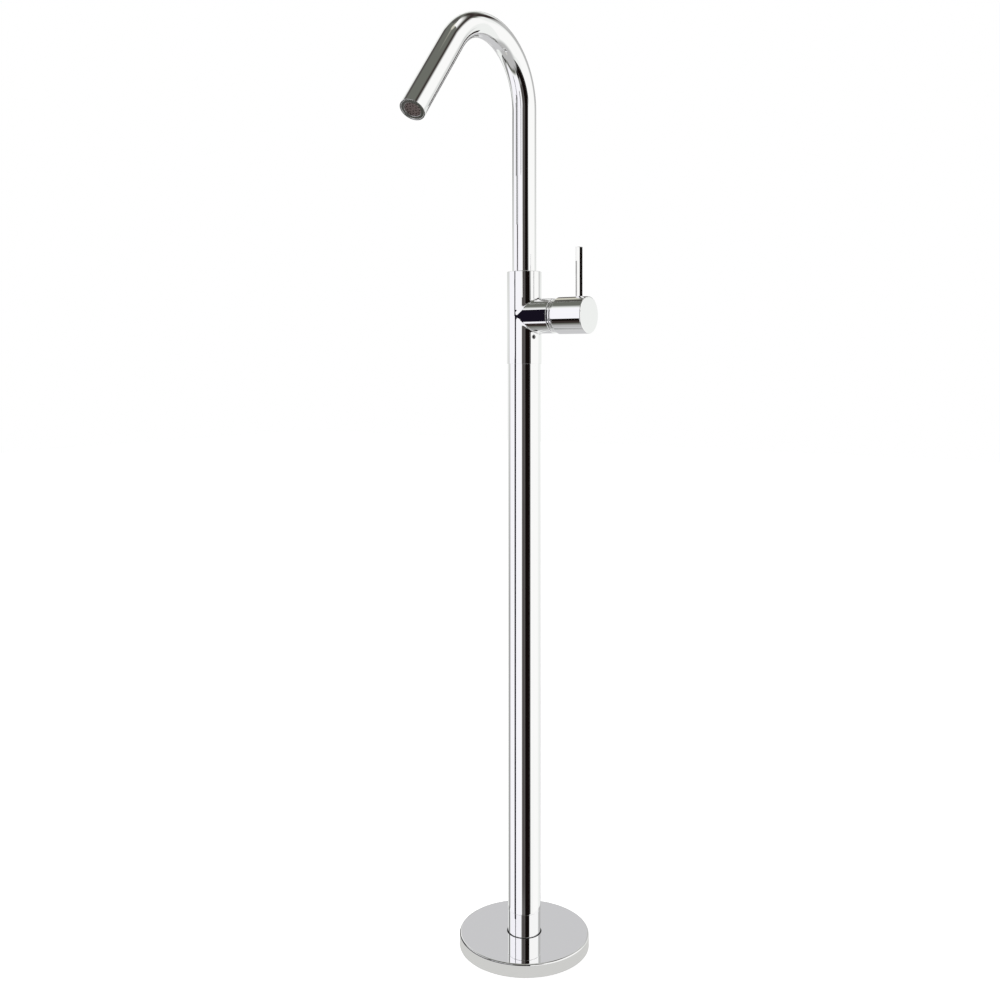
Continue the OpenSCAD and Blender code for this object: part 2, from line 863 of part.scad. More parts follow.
module spout_tail() {
    color("darkgoldenrod")
        difference() {
            union() {
                translate([0, 0, tail_z])
                    chamfered_bar(tail_r, tail_len + slide_t + cut, turned_edge, 0);
                translate([0, 0, spout_z]) chamfered_bar(tail_plug_r, tail_plug_h, 0, turned_edge);
            }
            translate([0, 0, tail_z - cut])
                cylinder(r = tail_bore_r, h = tail_len + tail_plug_h + 3 * cut);
            for (i = [1 : o_ring_count])
                translate([0, 0, tail_z + i * o_ring_step - o_ring_r - slip])
                    sleeve(seat_r + cut, tail_r - 2 * o_ring_r - slip, 2 * (o_ring_r + slip));
            translate([0, 0, body_top - stop_h - stop_groove_w / 2])
                rotate([0, 0, 90 - swivel_angle - stop_room])
                    rotate_extrude(angle = 2 * (swivel_angle + stop_room))
                        translate([tail_r - stop_groove_d, 0])
                            square([stop_groove_d + cut, stop_groove_w]);
        }
}

module spout_seals() {
    color("black")
        for (i = [1 : o_ring_count])
            translate([0, 0, tail_z + i * o_ring_step]) o_ring(tail_r - o_ring_r, o_ring_r);
}

// Aerator, drawn from the spout's end inwards

module nose_bush() {
    color("darkgoldenrod")
        at_outlet_end()
            translate([0, 0, aerator_recess])
                sleeve(nose_bush_r, aerator_r + slip, nose_bush_len);
}

module aerator_housing() {
    color("silver")
        at_outlet_end()
            translate([0, 0, aerator_recess])
                rotate_extrude()
                    polygon([
                        [insert_r - aerator_lip, 0], [aerator_r - nose_edge, 0],
                        [aerator_r, nose_edge], [aerator_r, aerator_len],
                        [insert_r + slip, aerator_len], [insert_r + slip, aerator_lip],
                        [insert_r - aerator_lip, aerator_lip]
                    ]);
}

module aerator_insert() {
    color("dimgray")
        at_outlet_end()
            translate([0, 0, aerator_recess + aerator_lip])
                difference() {
                    cylinder(r = insert_r, h = insert_t);
                    for (ring = [1, 2])
                        for (i = [0 : aerator_holes * ring / 2 - 1])
                            rotate([0, 0, 720 / (aerator_holes * ring) * i])
                                translate([hole_ring_pitch * ring, 0, -cut])
                                    cylinder(r = hole_r, h = insert_t + 2 * cut, $fn = 16);
                }
}

module aerator_gasket() {
    color("black")
        at_outlet_end()
            translate([0, 0, aerator_recess + aerator_len])
                sleeve(aerator_r - run, aerator_r - gasket_w, gasket_t);
}

base_cover();
cover_seal();
floor_flange();
foot_spigot();
foot_screws();
inlet_block();
column_set_screw();
column_tube();
hot_hose();
cold_hose();
hose_nipples();
column_adapter();
mixer_body();
body_set_screw();
stop_screw();
slide_ring();
port_seals();
cartridge_base();
fixed_disc();
cartridge_housing();
bonnet_nut();
trim_ring();
moving_disc();
disc_carrier();
rotor();
rotor_seal();
pivot_pin();
lever_spindle();
lever_cap();
lever_pin();
spout_tube();
spout_tail();
spout_seals();
nose_bush();
aerator_housing();
aerator_insert();
aerator_gasket();
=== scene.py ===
"""Finishes and fine forms of a floor-standing basin mixer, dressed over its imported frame.

The pieces are modelled in millimetres in the part's own frame and brought to metres at the end:
the origin on the floor under the column, +Z up, the spout along -Y and the side lever along +X.
"""

import logging
import math
from dataclasses import dataclass
from enum import Enum

import bmesh
import bpy
from bmesh.types import BMEdge, BMesh, BMVert
from bpy.types import ID, Material, Node, NodeSocket, NodeTree, Object
from mathutils import Matrix, Vector


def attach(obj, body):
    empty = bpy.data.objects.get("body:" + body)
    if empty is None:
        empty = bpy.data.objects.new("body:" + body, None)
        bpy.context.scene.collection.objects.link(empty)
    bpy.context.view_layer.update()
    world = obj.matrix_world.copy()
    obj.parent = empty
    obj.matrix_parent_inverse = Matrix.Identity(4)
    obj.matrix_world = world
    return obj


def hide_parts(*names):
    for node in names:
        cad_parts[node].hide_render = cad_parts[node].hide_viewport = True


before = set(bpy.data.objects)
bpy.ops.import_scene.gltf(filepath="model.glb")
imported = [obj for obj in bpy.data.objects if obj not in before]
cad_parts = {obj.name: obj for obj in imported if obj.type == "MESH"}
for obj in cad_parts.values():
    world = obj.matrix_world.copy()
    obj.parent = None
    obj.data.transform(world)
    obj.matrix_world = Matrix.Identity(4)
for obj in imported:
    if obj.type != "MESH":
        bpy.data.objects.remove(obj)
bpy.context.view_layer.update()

MM = 0.001
FULL_TURN = 2 * math.pi
QUARTER_TURN = math.pi / 2
SAME_SPOT = 1e-4
IN_PLANE = 1e-3
ROUNDING_STEPS = 6
DRILL_STEPS = 48

log = logging.getLogger("basin_mixer")

Point = tuple[float, float, float]
Tint = tuple[float, float, float, float]
WHITE: Tint = (1.0, 1.0, 1.0, 1.0)


def tone(red: int, green: int, blue: int) -> Tint:
    """Turns a display colour into the linear one that a shader takes.

    Args:
        red: red, 0 to 255.
        green: green, 0 to 255.
        blue: blue, 0 to 255.

    Returns:
        Linear red, green and blue, with an alpha of 1.
    """
    linear = []
    for part in (red, green, blue):
        share = part / 255
        linear.append(share / 12.92 if share < 0.04045 else ((share + 0.055) / 1.055) ** 2.4)
    return (*linear, 1.0)


class Slot(Enum):
    """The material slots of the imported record."""

    CHROME = "chrome"
    STAINLESS = "stainless"
    BRASS = "brass"
    HOSE_BRAID = "hose_braid"
    SEAL_RUBBER = "seal_rubber"
    CARTRIDGE_PLASTIC = "cartridge_plastic"
    AERATOR_PLASTIC = "aerator_plastic"
    CERAMIC = "ceramic"


class Body(Enum):
    """The bodies that a piece can ride on."""

    ROOT = "root"
    SPOUT = "spout"
    LEVER = "lever"


# Shader nodes


class NodeSheet:
    """A node tree with short calls that add its nodes and join them."""

    def __init__(self, tree: NodeTree) -> None:
        """Empties the tree and keeps it.

        Args:
            tree: the node tree to draw in.
        """
        self.tree = tree
        self.tree.nodes.clear()

    def add(self, kind: str, **settings: object) -> Node:
        """Adds one node.

        Args:
            kind: the node's type without its ShaderNode prefix.
            settings: values of the node's own properties.

        Returns:
            The new node.
        """
        node = self.tree.nodes.new("ShaderNode" + kind)
        for name, value in settings.items():
            setattr(node, name, value)
        return node

    def join(self, source: NodeSocket, target: NodeSocket) -> None:
        """Links an output to an input."""
        self.tree.links.new(source, target)

    def math(self, operation: str, *values: object) -> NodeSocket:
        """Adds a Math node.

        Args:
            operation: the node's operation.
            values: numbers or sockets for its inputs, in order.

        Returns:
            The node's output.
        """
        node = self.add("Math", operation=operation)
        for socket, value in zip(node.inputs, values):
            if isinstance(value, NodeSocket):
                self.join(value, socket)
            else:
                socket.default_value = value
        return node.outputs[0]

    def ramp(self, source: NodeSocket, stops: list[tuple[float, Tint]]) -> NodeSocket:
        """Adds a Color Ramp.

        Args:
            source: the value that the ramp reads.
            stops: pairs of a position and a linear colour, in order.

        Returns:
            The ramp's colour.
        """
        node = self.add("ValToRGB")
        elements = node.color_ramp.elements
        while len(elements) < len(stops):
            elements.new(1.0)
        for element, (place, colour) in zip(elements, stops):
            element.position = place
            element.color = colour
        self.join(source, node.inputs["Fac"])
        return node.outputs["Color"]

    def span(
        self, source: NodeSocket, low: float, high: float, start: float = 0.0, end: float = 1.0
    ) -> NodeSocket:
        """Maps a value from one range to another.

        Args:
            source: the value.
            low: the result at start.
            high: the result at end.
            start: the value that gives low.
            end: the value that gives high.

        Returns:
            The mapped value.
        """
        node = self.add("MapRange")
        limits = {"From Min": start, "From Max": end, "To Min": low, "To Max": high}
        for name, value in limits.items():
            node.inputs[name].default_value = value
        self.join(source, node.inputs["Value"])
        return node.outputs["Result"]

    def within(self, value: NodeSocket, low: float, high: float, fade: float) -> NodeSocket:
        """Tells how far a value lies inside a span.

        Args:
            value: the value.
            low: the span's lower end.
            high: its upper end.
            fade: how far its ends fade to either side.

        Returns:
            One inside the span and none outside.
        """
        away = self.math("ABSOLUTE", self.math("SUBTRACT", value, (low + high) / 2))
        reach = (high - low) / 2
        return self.span(away, 1.0, 0.0, start=reach - fade, end=reach + fade)

    def cover(self, under: NodeSocket, colour: Tint, share: NodeSocket) -> NodeSocket:
        """Lays one colour over another with a Mix node.

        Args:
            under: the colour below.
            colour: the colour on top.
            share: how much of the upper one shows.

        Returns:
            The mixed colour.
        """
        node = self.add("Mix", data_type="RGBA")
        lower, upper = (socket for socket in node.inputs if socket.type == "RGBA")
        self.join(share, node.inputs["Factor"])
        self.join(under, lower)
        upper.default_value = colour
        return next(socket for socket in node.outputs if socket.type == "RGBA")

    def noise(
        self, place: NodeSocket, cells: float, detail: float = 2.0, stretch: Point = (1, 1, 1)
    ) -> NodeSocket:
        """Adds a noise pattern.

        Args:
            place: the coordinates that it follows.
            cells: how many of its cells fit in a metre.
            detail: how many finer layers it has.
            stretch: factors on the three coordinates.

        Returns:
            The pattern's value, 0 to 1.
        """
        mapping = self.add("Mapping")
        mapping.inputs["Scale"].default_value = stretch
        self.join(place, mapping.inputs["Vector"])
        node = self.add("TexNoise")
        node.inputs["Scale"].default_value = cells
        node.inputs["Detail"].default_value = detail
        self.join(mapping.outputs["Vector"], node.inputs["Vector"])
        return node.outputs["Fac"]

    def bump(self, height: NodeSocket, depth: float) -> NodeSocket:
        """Adds a Bump node.

        Args:
            height: the relief, 0 to 1.
            depth: the relief's depth in metres.

        Returns:
            The bumped normal.
        """
        node = self.add("Bump")
        node.inputs["Strength"].default_value = 1.0
        node.inputs["Distance"].default_value = depth
        self.join(height, node.inputs["Height"])
        return node.outputs["Normal"]

    def glow(self, kind: str, colour: Tint) -> Node:
        """Adds an Emission or a Background.

        Args:
            kind: the node's type.
            colour: the colour of its light.

        Returns:
            The new node.
        """
        node = self.add(kind)
        node.inputs["Color"].default_value = colour
        return node

    def choose(self, share: NodeSocket, first: Node, second: Node, end: str) -> None:
        """Ends the tree with one shader mixed into another.

        Args:
            share: how much of the second shows.
            first: the first shader.
            second: the second shader.
            end: the type of the output node.
        """
        mix = self.add("MixShader")
        for source, socket in zip((share, first.outputs[0], second.outputs[0]), mix.inputs):
            self.join(source, socket)
        self.join(mix.outputs[0], self.add(end).inputs["Surface"])


def new_material(name: str) -> tuple[Material, NodeSheet]:
    """Makes a material with an empty node sheet.

    Args:
        name: the material's name.

    Returns:
        The material and its sheet.
    """
    made = bpy.data.materials.new(name)
    made.use_nodes = True
    return made, NodeSheet(made.node_tree)


# Finishes


class Finish:
    """A finish that makes its Blender material once and hands it out."""

    name: str

    def material(self) -> Material:
        """Gives the material, made at the first call.

        Returns:
            The finish's material.
        """
        found = bpy.data.materials.get("finish_" + self.name)
        if found is None:
            found, sheet = new_material("finish_" + self.name)
            shader = sheet.add("BsdfPrincipled")
            place = sheet.add("TexCoord").outputs["Object"]
            self.draw(sheet, shader, place)
            sheet.join(shader.outputs["BSDF"], sheet.add("OutputMaterial").inputs["Surface"])
        return found

    def draw(self, sheet: NodeSheet, shader: Node, place: NodeSocket) -> None:
        """Draws the finish's nodes into the sheet."""
        raise NotImplementedError


@dataclass(frozen=True)
class PolishedChrome(Finish):
    """Bright chrome plating over polished brass."""

    name: str = "chrome"
    colour: Tint = tone(250, 250, 251)
    smooth: float = 0.008
    smudged: float = 0.024
    film_cells: float = 60.0
    patch_cells: float = 9.0
    ripple: float = 2.0e-6
    ripple_cells: float = 20.0

    def draw(self, sheet: NodeSheet, shader: Node, place: NodeSocket) -> None:
        """Draws a mirror with a trace of polishing ripple and fingerprint film.

        Args:
            sheet: the finish's node sheet.
            shader: its surface shader.
            place: the object's own coordinates.
        """
        shader.inputs["Base Color"].default_value = self.colour
        shader.inputs["Metallic"].default_value = 1.0
        film = sheet.noise(place, self.film_cells, detail=4.0)
        patch = sheet.noise(place, self.patch_cells, detail=1.0)
        dull = sheet.math("MULTIPLY", film, patch)
        sheet.join(sheet.span(dull, self.smooth, self.smudged), shader.inputs["Roughness"])
        wave = sheet.noise(place, self.ripple_cells, detail=1.0)
        sheet.join(sheet.bump(wave, self.ripple), shader.inputs["Normal"])


@dataclass(frozen=True)
class TurnedMetal(Finish):
    """Bare metal with the fine rings that a lathe leaves."""

    name: str
    colour: Tint
    shade: Tint
    roughness: float = 0.28
    film_cells: float = 70.0
    ring_pitch: float = 0.25 * MM
    ring_depth: float = 4.0e-6
    ring_stretch: Point = (0.02, 0.02, 1.0)

    def draw(self, sheet: NodeSheet, shader: Node, place: NodeSocket) -> None:
        """Draws turned metal, a little darker where the film on it is thicker.

        Args:
            sheet: the finish's node sheet.
            shader: its surface shader.
            place: the object's own coordinates.
        """
        shader.inputs["Metallic"].default_value = 1.0
        film = sheet.noise(place, self.film_cells, detail=5.0)
        tint = sheet.ramp(film, [(0.3, self.shade), (0.65, self.colour)])
        sheet.join(tint, shader.inputs["Base Color"])
        dull = sheet.span(film, self.roughness * 1.3, self.roughness * 0.7)
        sheet.join(dull, shader.inputs["Roughness"])
        rings = sheet.noise(place, 1 / self.ring_pitch, detail=1.0, stretch=self.ring_stretch)
        sheet.join(sheet.bump(rings, self.ring_depth), shader.inputs["Normal"])


@dataclass(frozen=True)
class Moulded(Finish):
    """A plastic, rubber or ceramic piece with its fine moulded grain."""

    name: str
    colour: Tint
    shade: Tint
    roughness: float
    grain_cells: float
    grain_depth: float
    cloud_cells: float = 45.0

    def draw(self, sheet: NodeSheet, shader: Node, place: NodeSocket) -> None:
        """Draws a matt to satin solid colour with slight clouding and grain.

        Args:
            sheet: the finish's node sheet.
            shader: its surface shader.
            place: the object's own coordinates.
        """
        cloud = sheet.noise(place, self.cloud_cells, detail=4.0)
        tint = sheet.ramp(cloud, [(0.3, self.shade), (0.7, self.colour)])
        sheet.join(tint, shader.inputs["Base Color"])
        grain = sheet.noise(place, self.grain_cells, detail=3.0)
        dull = sheet.span(grain, self.roughness * 0.8, self.roughness * 1.2)
        sheet.join(dull, shader.inputs["Roughness"])
        sheet.join(sheet.bump(grain, self.grain_depth), shader.inputs["Normal"])


CHROME = PolishedChrome()
STEEL = TurnedMetal("stainless", tone(150, 150, 150), tone(92, 92, 94))
BRASS = TurnedMetal("brass", tone(222, 190, 118), tone(178, 142, 76))
RUBBER = Moulded("seal_rubber", tone(34, 34, 36), tone(22, 22, 24), 0.55, 900.0, 6e-6)
PLASTIC = Moulded("cartridge_plastic", tone(228, 226, 216), tone(214, 211, 200), 0.38, 700.0, 4e-6)
AERATOR = Moulded("aerator_plastic", tone(104, 90, 88), tone(88, 76, 74), 0.42, 800.0, 5e-6)
CERAMIC = Moulded("ceramic", tone(240, 238, 232), tone(228, 226, 220), 0.14, 1500.0, 1e-6)

FINISHES: dict[Slot, Finish] = {
    Slot(finish.name): finish
    for finish in (CHROME, STEEL, BRASS, RUBBER, PLASTIC, AERATOR, CERAMIC)
}
FINISHES[Slot.HOSE_BRAID] = STEEL


# Shared mesh work


@dataclass(frozen=True)
class Corner:
    """One corner of a turned outline: its radius, its height and the rounding of its edge."""

    radius: float
    height: float
    rounding: float = 0.0


def link(name: str, data: ID) -> Object:
    """Puts an object with the given data into the scene.

    Args:
        name: the object's name.
        data: its mesh, lamp or camera.

    Returns:
        The new object.
    """
    made = bpy.data.objects.new(name, data)
    bpy.context.scene.collection.objects.link(made)
    return made


def as_object(name: str, mesh: BMesh) -> Object:
    """Turns a finished bmesh into an object at the origin.

    Args:
        name: the object's name.
        mesh: the bmesh in metres, which is freed.

    Returns:
        The new object, linked to the scene.
    """
    data = bpy.data.meshes.new(name)
    mesh.to_mesh(data)
    mesh.free()
    return link(name, data)


def face_outwards(mesh: BMesh) -> None:
    """Points all faces of a closed mesh outwards.

    Args:
        mesh: the closed mesh.
    """
    bmesh.ops.recalc_face_normals(mesh, faces=mesh.faces)
    if mesh.calc_volume(signed=True) < 0:
        bmesh.ops.reverse_faces(mesh, faces=mesh.faces)


def round_edges(mesh: BMesh, edges: list[BMEdge], size: float) -> None:
    """Rounds edges to a quarter circle.

    Args:
        mesh: the mesh that holds the edges.
        edges: the edges to round.
        size: the circle's radius.
    """
    bmesh.ops.bevel(
        mesh, geom=edges, offset=size, offset_type="OFFSET", affect="EDGES",
        segments=ROUNDING_STEPS, profile=0.5, material=-1, clamp_overlap=True,
    )


def rings_at(mesh: BMesh, radius: float, height: float) -> list[BMEdge]:
    """Finds the edges round the Z axis at one radius and height.

    Args:
        mesh: the mesh to search.
        radius: the ring's radius.
        height: the ring's height.

    Returns:
        The ring's edges.
    """
    near = 2 * IN_PLANE
    on_ring = {
        vert for vert in mesh.verts
        if abs(vert.co.z - height) < near and abs(vert.co.xy.length - radius) < near
    }
    return [edge for edge in mesh.edges if set(edge.verts) <= on_ring]


def turned(corners: list[Corner], steps: int = 192) -> BMesh:
    """Turns an outline round the Z axis, as on a lathe, and rounds its edges.

    Args:
        corners: the outline's corners in order, closed by itself or on the axis.
        steps: how many faces go round.

    Returns:
        The turned mesh.
    """
    mesh = bmesh.new()
    verts = [mesh.verts.new((corner.radius, 0.0, corner.height)) for corner in corners]
    edges = [mesh.edges.new(pair) for pair in zip(verts, verts[1:])]
    if corners[0].radius or corners[-1].radius:
        edges.append(mesh.edges.new((verts[-1], verts[0])))
    bmesh.ops.spin(
        mesh, geom=verts + edges, cent=(0, 0, 0), axis=(0, 0, 1), angle=FULL_TURN,
        steps=steps, use_merge=True,
    )
    bmesh.ops.remove_doubles(mesh, verts=mesh.verts, dist=SAME_SPOT)
    face_outwards(mesh)
    for corner in corners:
        if corner.rounding:
            round_edges(mesh, rings_at(mesh, corner.radius, corner.height), corner.rounding)
    return mesh


def lay_along_x(mesh: BMesh, verts: list[BMVert]) -> None:
    """Turns corners that were made upright so that their axis runs along +X."""
    turn = Matrix.Rotation(QUARTER_TURN, 3, "Y")
    bmesh.ops.rotate(mesh, verts=verts, cent=(0, 0, 0), matrix=turn)


def drill(target: BMesh, foot: Vector, direction: Vector, radius: float, depth: float) -> BMesh:
    """Drills a round blind hole with the Boolean modifier.

    Args:
        target: the mesh to drill, which is freed.
        foot: the hole's inner end.
        direction: the unit vector from the inner end outwards.
        radius: the hole's radius.
        depth: the drill's length from the inner end.

    Returns:
        The drilled mesh.
    """
    bit = bmesh.new()
    bmesh.ops.create_cone(
        bit, cap_ends=True, segments=DRILL_STEPS, radius1=radius, radius2=radius, depth=depth
    )
    bmesh.ops.translate(bit, verts=bit.verts, vec=(0, 0, depth / 2))
    turn = direction.to_track_quat("Z", "Y").to_matrix()
    bmesh.ops.rotate(bit, verts=bit.verts, cent=(0, 0, 0), matrix=turn)
    bmesh.ops.translate(bit, verts=bit.verts, vec=foot)
    work = as_object("drilled", target)
    tool = as_object("drill_bit", bit)
    cut = work.modifiers.new("hole", "BOOLEAN")
    cut.object = tool
    cut.operation = "DIFFERENCE"
    cut.solver = "MANIFOLD"
    graph = bpy.context.evaluated_depsgraph_get()
    drilled = bmesh.new()
    drilled.from_object(work, graph)
    for spare in (work, tool):
        bpy.data.objects.remove(spare)
    return drilled


class SubAssembly:
    """A group of pieces with the calls that finish and hand over each one."""

    sharp_angle = math.radians(32)
    area_weight = 80

    def build(self) -> None:
        """Builds and dresses every piece of the sub-assembly."""
        raise NotImplementedError

    def hand_over(
        self, name: str, mesh: BMesh, body: Body, *nodes: str, even: bool = True
    ) -> Object:
        """Makes a mesh a finished chrome piece in place of frame nodes.

        Args:
            name: the piece's name.
            mesh: the mesh in millimetres, which is freed.
            body: the body that the piece rides on.
            nodes: the frame nodes that it stands for.
            even: weighs the shading by the faces' areas.

        Returns:
            The piece.
        """
        bmesh.ops.scale(mesh, verts=mesh.verts, vec=(MM, MM, MM))
        for face in mesh.faces:
            face.smooth = True
        for edge in mesh.edges:
            if edge.is_manifold and edge.calc_face_angle() > self.sharp_angle:
                edge.smooth = False
        piece = as_object(name, mesh)
        piece.data.materials.append(CHROME.material())
        if even:
            weighted = piece.modifiers.new("even_shading", "WEIGHTED_NORMAL")
            weighted.keep_sharp = True
            weighted.weight = self.area_weight
        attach(piece, body.value)
        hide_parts(*nodes)
        log.info("%s: %d faces, on %s", name, len(piece.data.polygons), body.value)
        return piece


# The mixer, from the floor up


@dataclass
class Base(SubAssembly):
    """The round cover plate on the floor."""

    rim_radius: float = 75.0
    height: float = 15.0
    wall: float = 2.5
    hole_radius: float = 19.95
    top_rounding: float = 1.8
    foot_rounding: float = 0.4
    hole_rounding: float = 0.35
    around: int = 320

    def build(self) -> None:
        """Builds the cover plate."""
        bore = self.rim_radius - self.wall
        under = self.height - self.wall
        mesh = turned([
            Corner(self.hole_radius, under),
            Corner(bore, under),
            Corner(bore, 0.0),
            Corner(self.rim_radius, 0.0, self.foot_rounding),
            Corner(self.rim_radius, self.height, self.top_rounding),
            Corner(self.hole_radius, self.height, self.hole_rounding),
        ], steps=self.around)
        self.hand_over("cover_plate", mesh, Body.ROOT, "base_cover")


@dataclass
class Column(SubAssembly):
    """The foot with its collar, and the long column on it."""

    collar_radius: float = 18.75
    flange_radius: float = 32.0
    flange_foot: float = 8.0
    flange_top: float = 12.0
    seam: float = 41.0
    spigot_radius: float = 17.45
    spigot_top: float = 95.0
    core_radius: float = 14.0
    radius: float = 19.0
    bore_radius: float = 17.5
    top: float = 675.0
    seam_rounding: float = 0.3
    screw_height: float = 53.0
    screw_radius: float = 2.5
    drill_overlap: float = 1.0
    drill_depth: float = 4.0
    around: int = 256

    def build(self) -> None:
        """Builds the foot and the column."""
        foot = turned([
            Corner(self.core_radius, self.flange_foot),
            Corner(self.flange_radius, self.flange_foot, self.seam_rounding),
            Corner(self.flange_radius, self.flange_top, self.seam_rounding),
            Corner(self.collar_radius, self.flange_top),
            Corner(self.collar_radius, self.seam, self.seam_rounding),
            Corner(self.spigot_radius, self.seam),
            Corner(self.spigot_radius, self.spigot_top, self.seam_rounding),
            Corner(self.core_radius, self.spigot_top),
        ], steps=self.around)
        self.hand_over("foot_collar", foot, Body.ROOT, "foot_spigot")
        tube = turned([
            Corner(self.bore_radius, self.seam),
            Corner(self.radius, self.seam, self.seam_rounding),
            Corner(self.radius, self.top),
            Corner(self.bore_radius, self.top),
        ], steps=self.around)
        inner = Vector((0, self.bore_radius - self.drill_overlap, self.screw_height))
        tube = drill(tube, inner, Vector((0, 1, 0)), self.screw_radius, self.drill_depth)
        self.hand_over("column", tube, Body.ROOT, "column_tube")


@dataclass
class MixerBody(SubAssembly):
    """The body with its side branch of the same diameter, blended into each other."""

    radius: float = 20.0
    foot: float = 675.0
    top: float = 782.0
    axis_height: float = 730.0
    mouth: float = 41.0
    blend: float = 2.0
    rim_rounding: float = 0.5
    foot_rounding: float = 0.25
    socket_radius: float = 16.5
    socket_depth: float = 39.0
    seat_radius: float = 12.0
    seat_depth: float = 31.0
    nut_radius: float = 16.05
    nut_depth: float = 13.65
    chamber_radius: float = 13.95
    chamber_depth: float = 35.0
    screw_radius: float = 2.5
    screw_height: float = 706.0
    screw_turn: float = -24.0
    screw_depth: float = 6.0
    stop_height: float = 773.0
    drill_depth: float = 8.0
    around: int = 256
    joint_width: float = 2.6
    neck_width: float = 3.0
    neck_power: int = 6
    wall_slack: float = 0.02
    flat_end: float = 0.99999
    rim_hold: float = 0.2
    shading_cuts: tuple[float, ...] = (
        *(half / 2 for half in range(1, 11)), *range(6, 24), 25, 28, 32
    )

    def build(self) -> None:
        """Builds the body."""
        mesh = self.wall_tee()
        self.blend_tee(mesh)
        up = self.top - self.axis_height
        down = self.foot - self.axis_height
        self.open_end(mesh, Vector((0, 0, up)), self.rim_rounding, [
            (self.seat_radius, 0.0), (self.seat_radius, self.seat_depth)
        ])
        self.open_end(mesh, Vector((0, 0, down)), self.foot_rounding, [
            (self.socket_radius, 0.0), (self.socket_radius, self.socket_depth)
        ])
        self.open_end(mesh, Vector((self.mouth, 0, 0)), self.rim_rounding, [
            (self.nut_radius, 0.0), (self.nut_radius, self.nut_depth),
            (self.chamber_radius, self.nut_depth), (self.chamber_radius, self.chamber_depth),
        ])
        face_outwards(mesh)
        bmesh.ops.translate(mesh, verts=mesh.verts, vec=(0, 0, self.axis_height))
        turn = math.radians(self.screw_turn)
        for height, direction in (
            (self.screw_height, Vector((math.cos(turn), math.sin(turn), 0))),
            (self.stop_height, Vector((0, 1, 0))),
        ):
            inner = Vector((0, 0, height)) + direction * (self.radius - self.screw_depth)
            mesh = drill(mesh, inner, direction, self.screw_radius, self.drill_depth)
        piece = self.hand_over("tee_body", mesh, Body.ROOT, "mixer_body", even=False)
        self.shade(piece)

    def shade(self, piece: Object) -> None:
        """Gives the walls and the flat ends their true normals.

        Args:
            piece: the finished body.
        """
        data = piece.data
        choices: list[list[Vector]] = []
        for vert in data.vertices:
            wall = self.wall_normal(vert.co / MM - Vector((0, 0, self.axis_height)))
            choices.append([] if wall is None else [wall])
        for face in data.polygons:
            if max(abs(face.normal.x), abs(face.normal.z)) > self.flat_end:
                for index in face.vertices:
                    choices[index].append(face.normal.copy())
        usual = [corner.vector.copy() for corner in data.corner_normals]
        normals = []
        for face in data.polygons:
            for loop, index in zip(face.loop_indices, face.vertices):
                best = max(choices[index], key=face.normal.dot, default=usual[loop])
                close = face.normal.dot(best) > math.cos(self.sharp_angle)
                normals.append(best if close else usual[loop])
        data.normals_split_custom_set(normals)

    def wall_normal(self, spot: Vector) -> Vector | None:
        """Gives the outer walls' normal, softened towards each other along their joint.

        Args:
            spot: a place in millimetres from the crossing of the two axes.

        Returns:
            The normal, or nothing for a place on neither wall.
        """
        on_wall = [
            -self.wall_slack < math.hypot(*pair) - self.radius < self.blend / 2
            for pair in ((spot.x, spot.y), (spot.y, spot.z))
        ]
        if not on_wall[0] and not (on_wall[1] and spot.x > 0):
            return None
        body = Vector((spot.x, spot.y, 0)).normalized()
        branch = Vector((0, spot.y, spot.z)).normalized()
        reach, rise = spot.x, abs(spot.z)
        run = abs(rise - reach)
        turn = [math.asin(max(-1.0, min(1.0, part / self.radius))) for part in (reach, rise)]
        arc = self.radius * abs(turn[1] - turn[0])
        away = run * arc / math.hypot(run, arc) if run and arc else 0.0
        flat = min(1.0, abs(spot.y) / self.radius)
        widening = (self.neck_width - self.joint_width) * flat**self.neck_power
        width = self.joint_width + widening
        share = 0.5 * max(0.0, 1 - away / width) ** 2
        own, other = (branch, body) if reach > rise else (body, branch)
        return own.lerp(other, share).normalized()

    def wall_tee(self) -> BMesh:
        """Makes the two tube walls and joins them along their mitre.

        Returns:
            The open tee, its branch axis at height 0.
        """
        mesh = bmesh.new()
        for tag, (low, high) in enumerate(
            ((self.foot - self.axis_height, self.top - self.axis_height), (0.0, self.mouth))
        ):
            ring = bmesh.ops.create_circle(mesh, radius=self.radius, segments=self.around)["verts"]
            bmesh.ops.translate(mesh, verts=ring, vec=(0, 0, low))
            loop = list({edge for vert in ring for edge in vert.link_edges})
            grown = bmesh.ops.extrude_edge_only(mesh, edges=loop)["geom"]
            far = [item for item in grown if isinstance(item, BMVert)]
            bmesh.ops.translate(mesh, verts=far, vec=(0, 0, high - low))
            if tag:
                lay_along_x(mesh, ring + far)
            for face in mesh.faces:
                if any(vert in ring for vert in face.verts):
                    face.material_index = tag
        for slope in (1.0, -1.0):
            front = [face for face in mesh.faces if face.calc_center_median().x > 0]
            edges = {edge for face in front for edge in face.edges}
            verts = {vert for face in front for vert in face.verts}
            bmesh.ops.bisect_plane(
                mesh, geom=[*front, *edges, *verts], dist=SAME_SPOT, plane_co=(0, 0, 0),
                plane_no=(slope, 0, 1.0),
            )
        inside = []
        for face in mesh.faces:
            middle = face.calc_center_median()
            if bool(face.material_index) != (middle.x > abs(middle.z)):
                inside.append(face)
        bmesh.ops.delete(mesh, geom=inside, context="FACES")
        bmesh.ops.remove_doubles(mesh, verts=mesh.verts, dist=IN_PLANE)
        return mesh

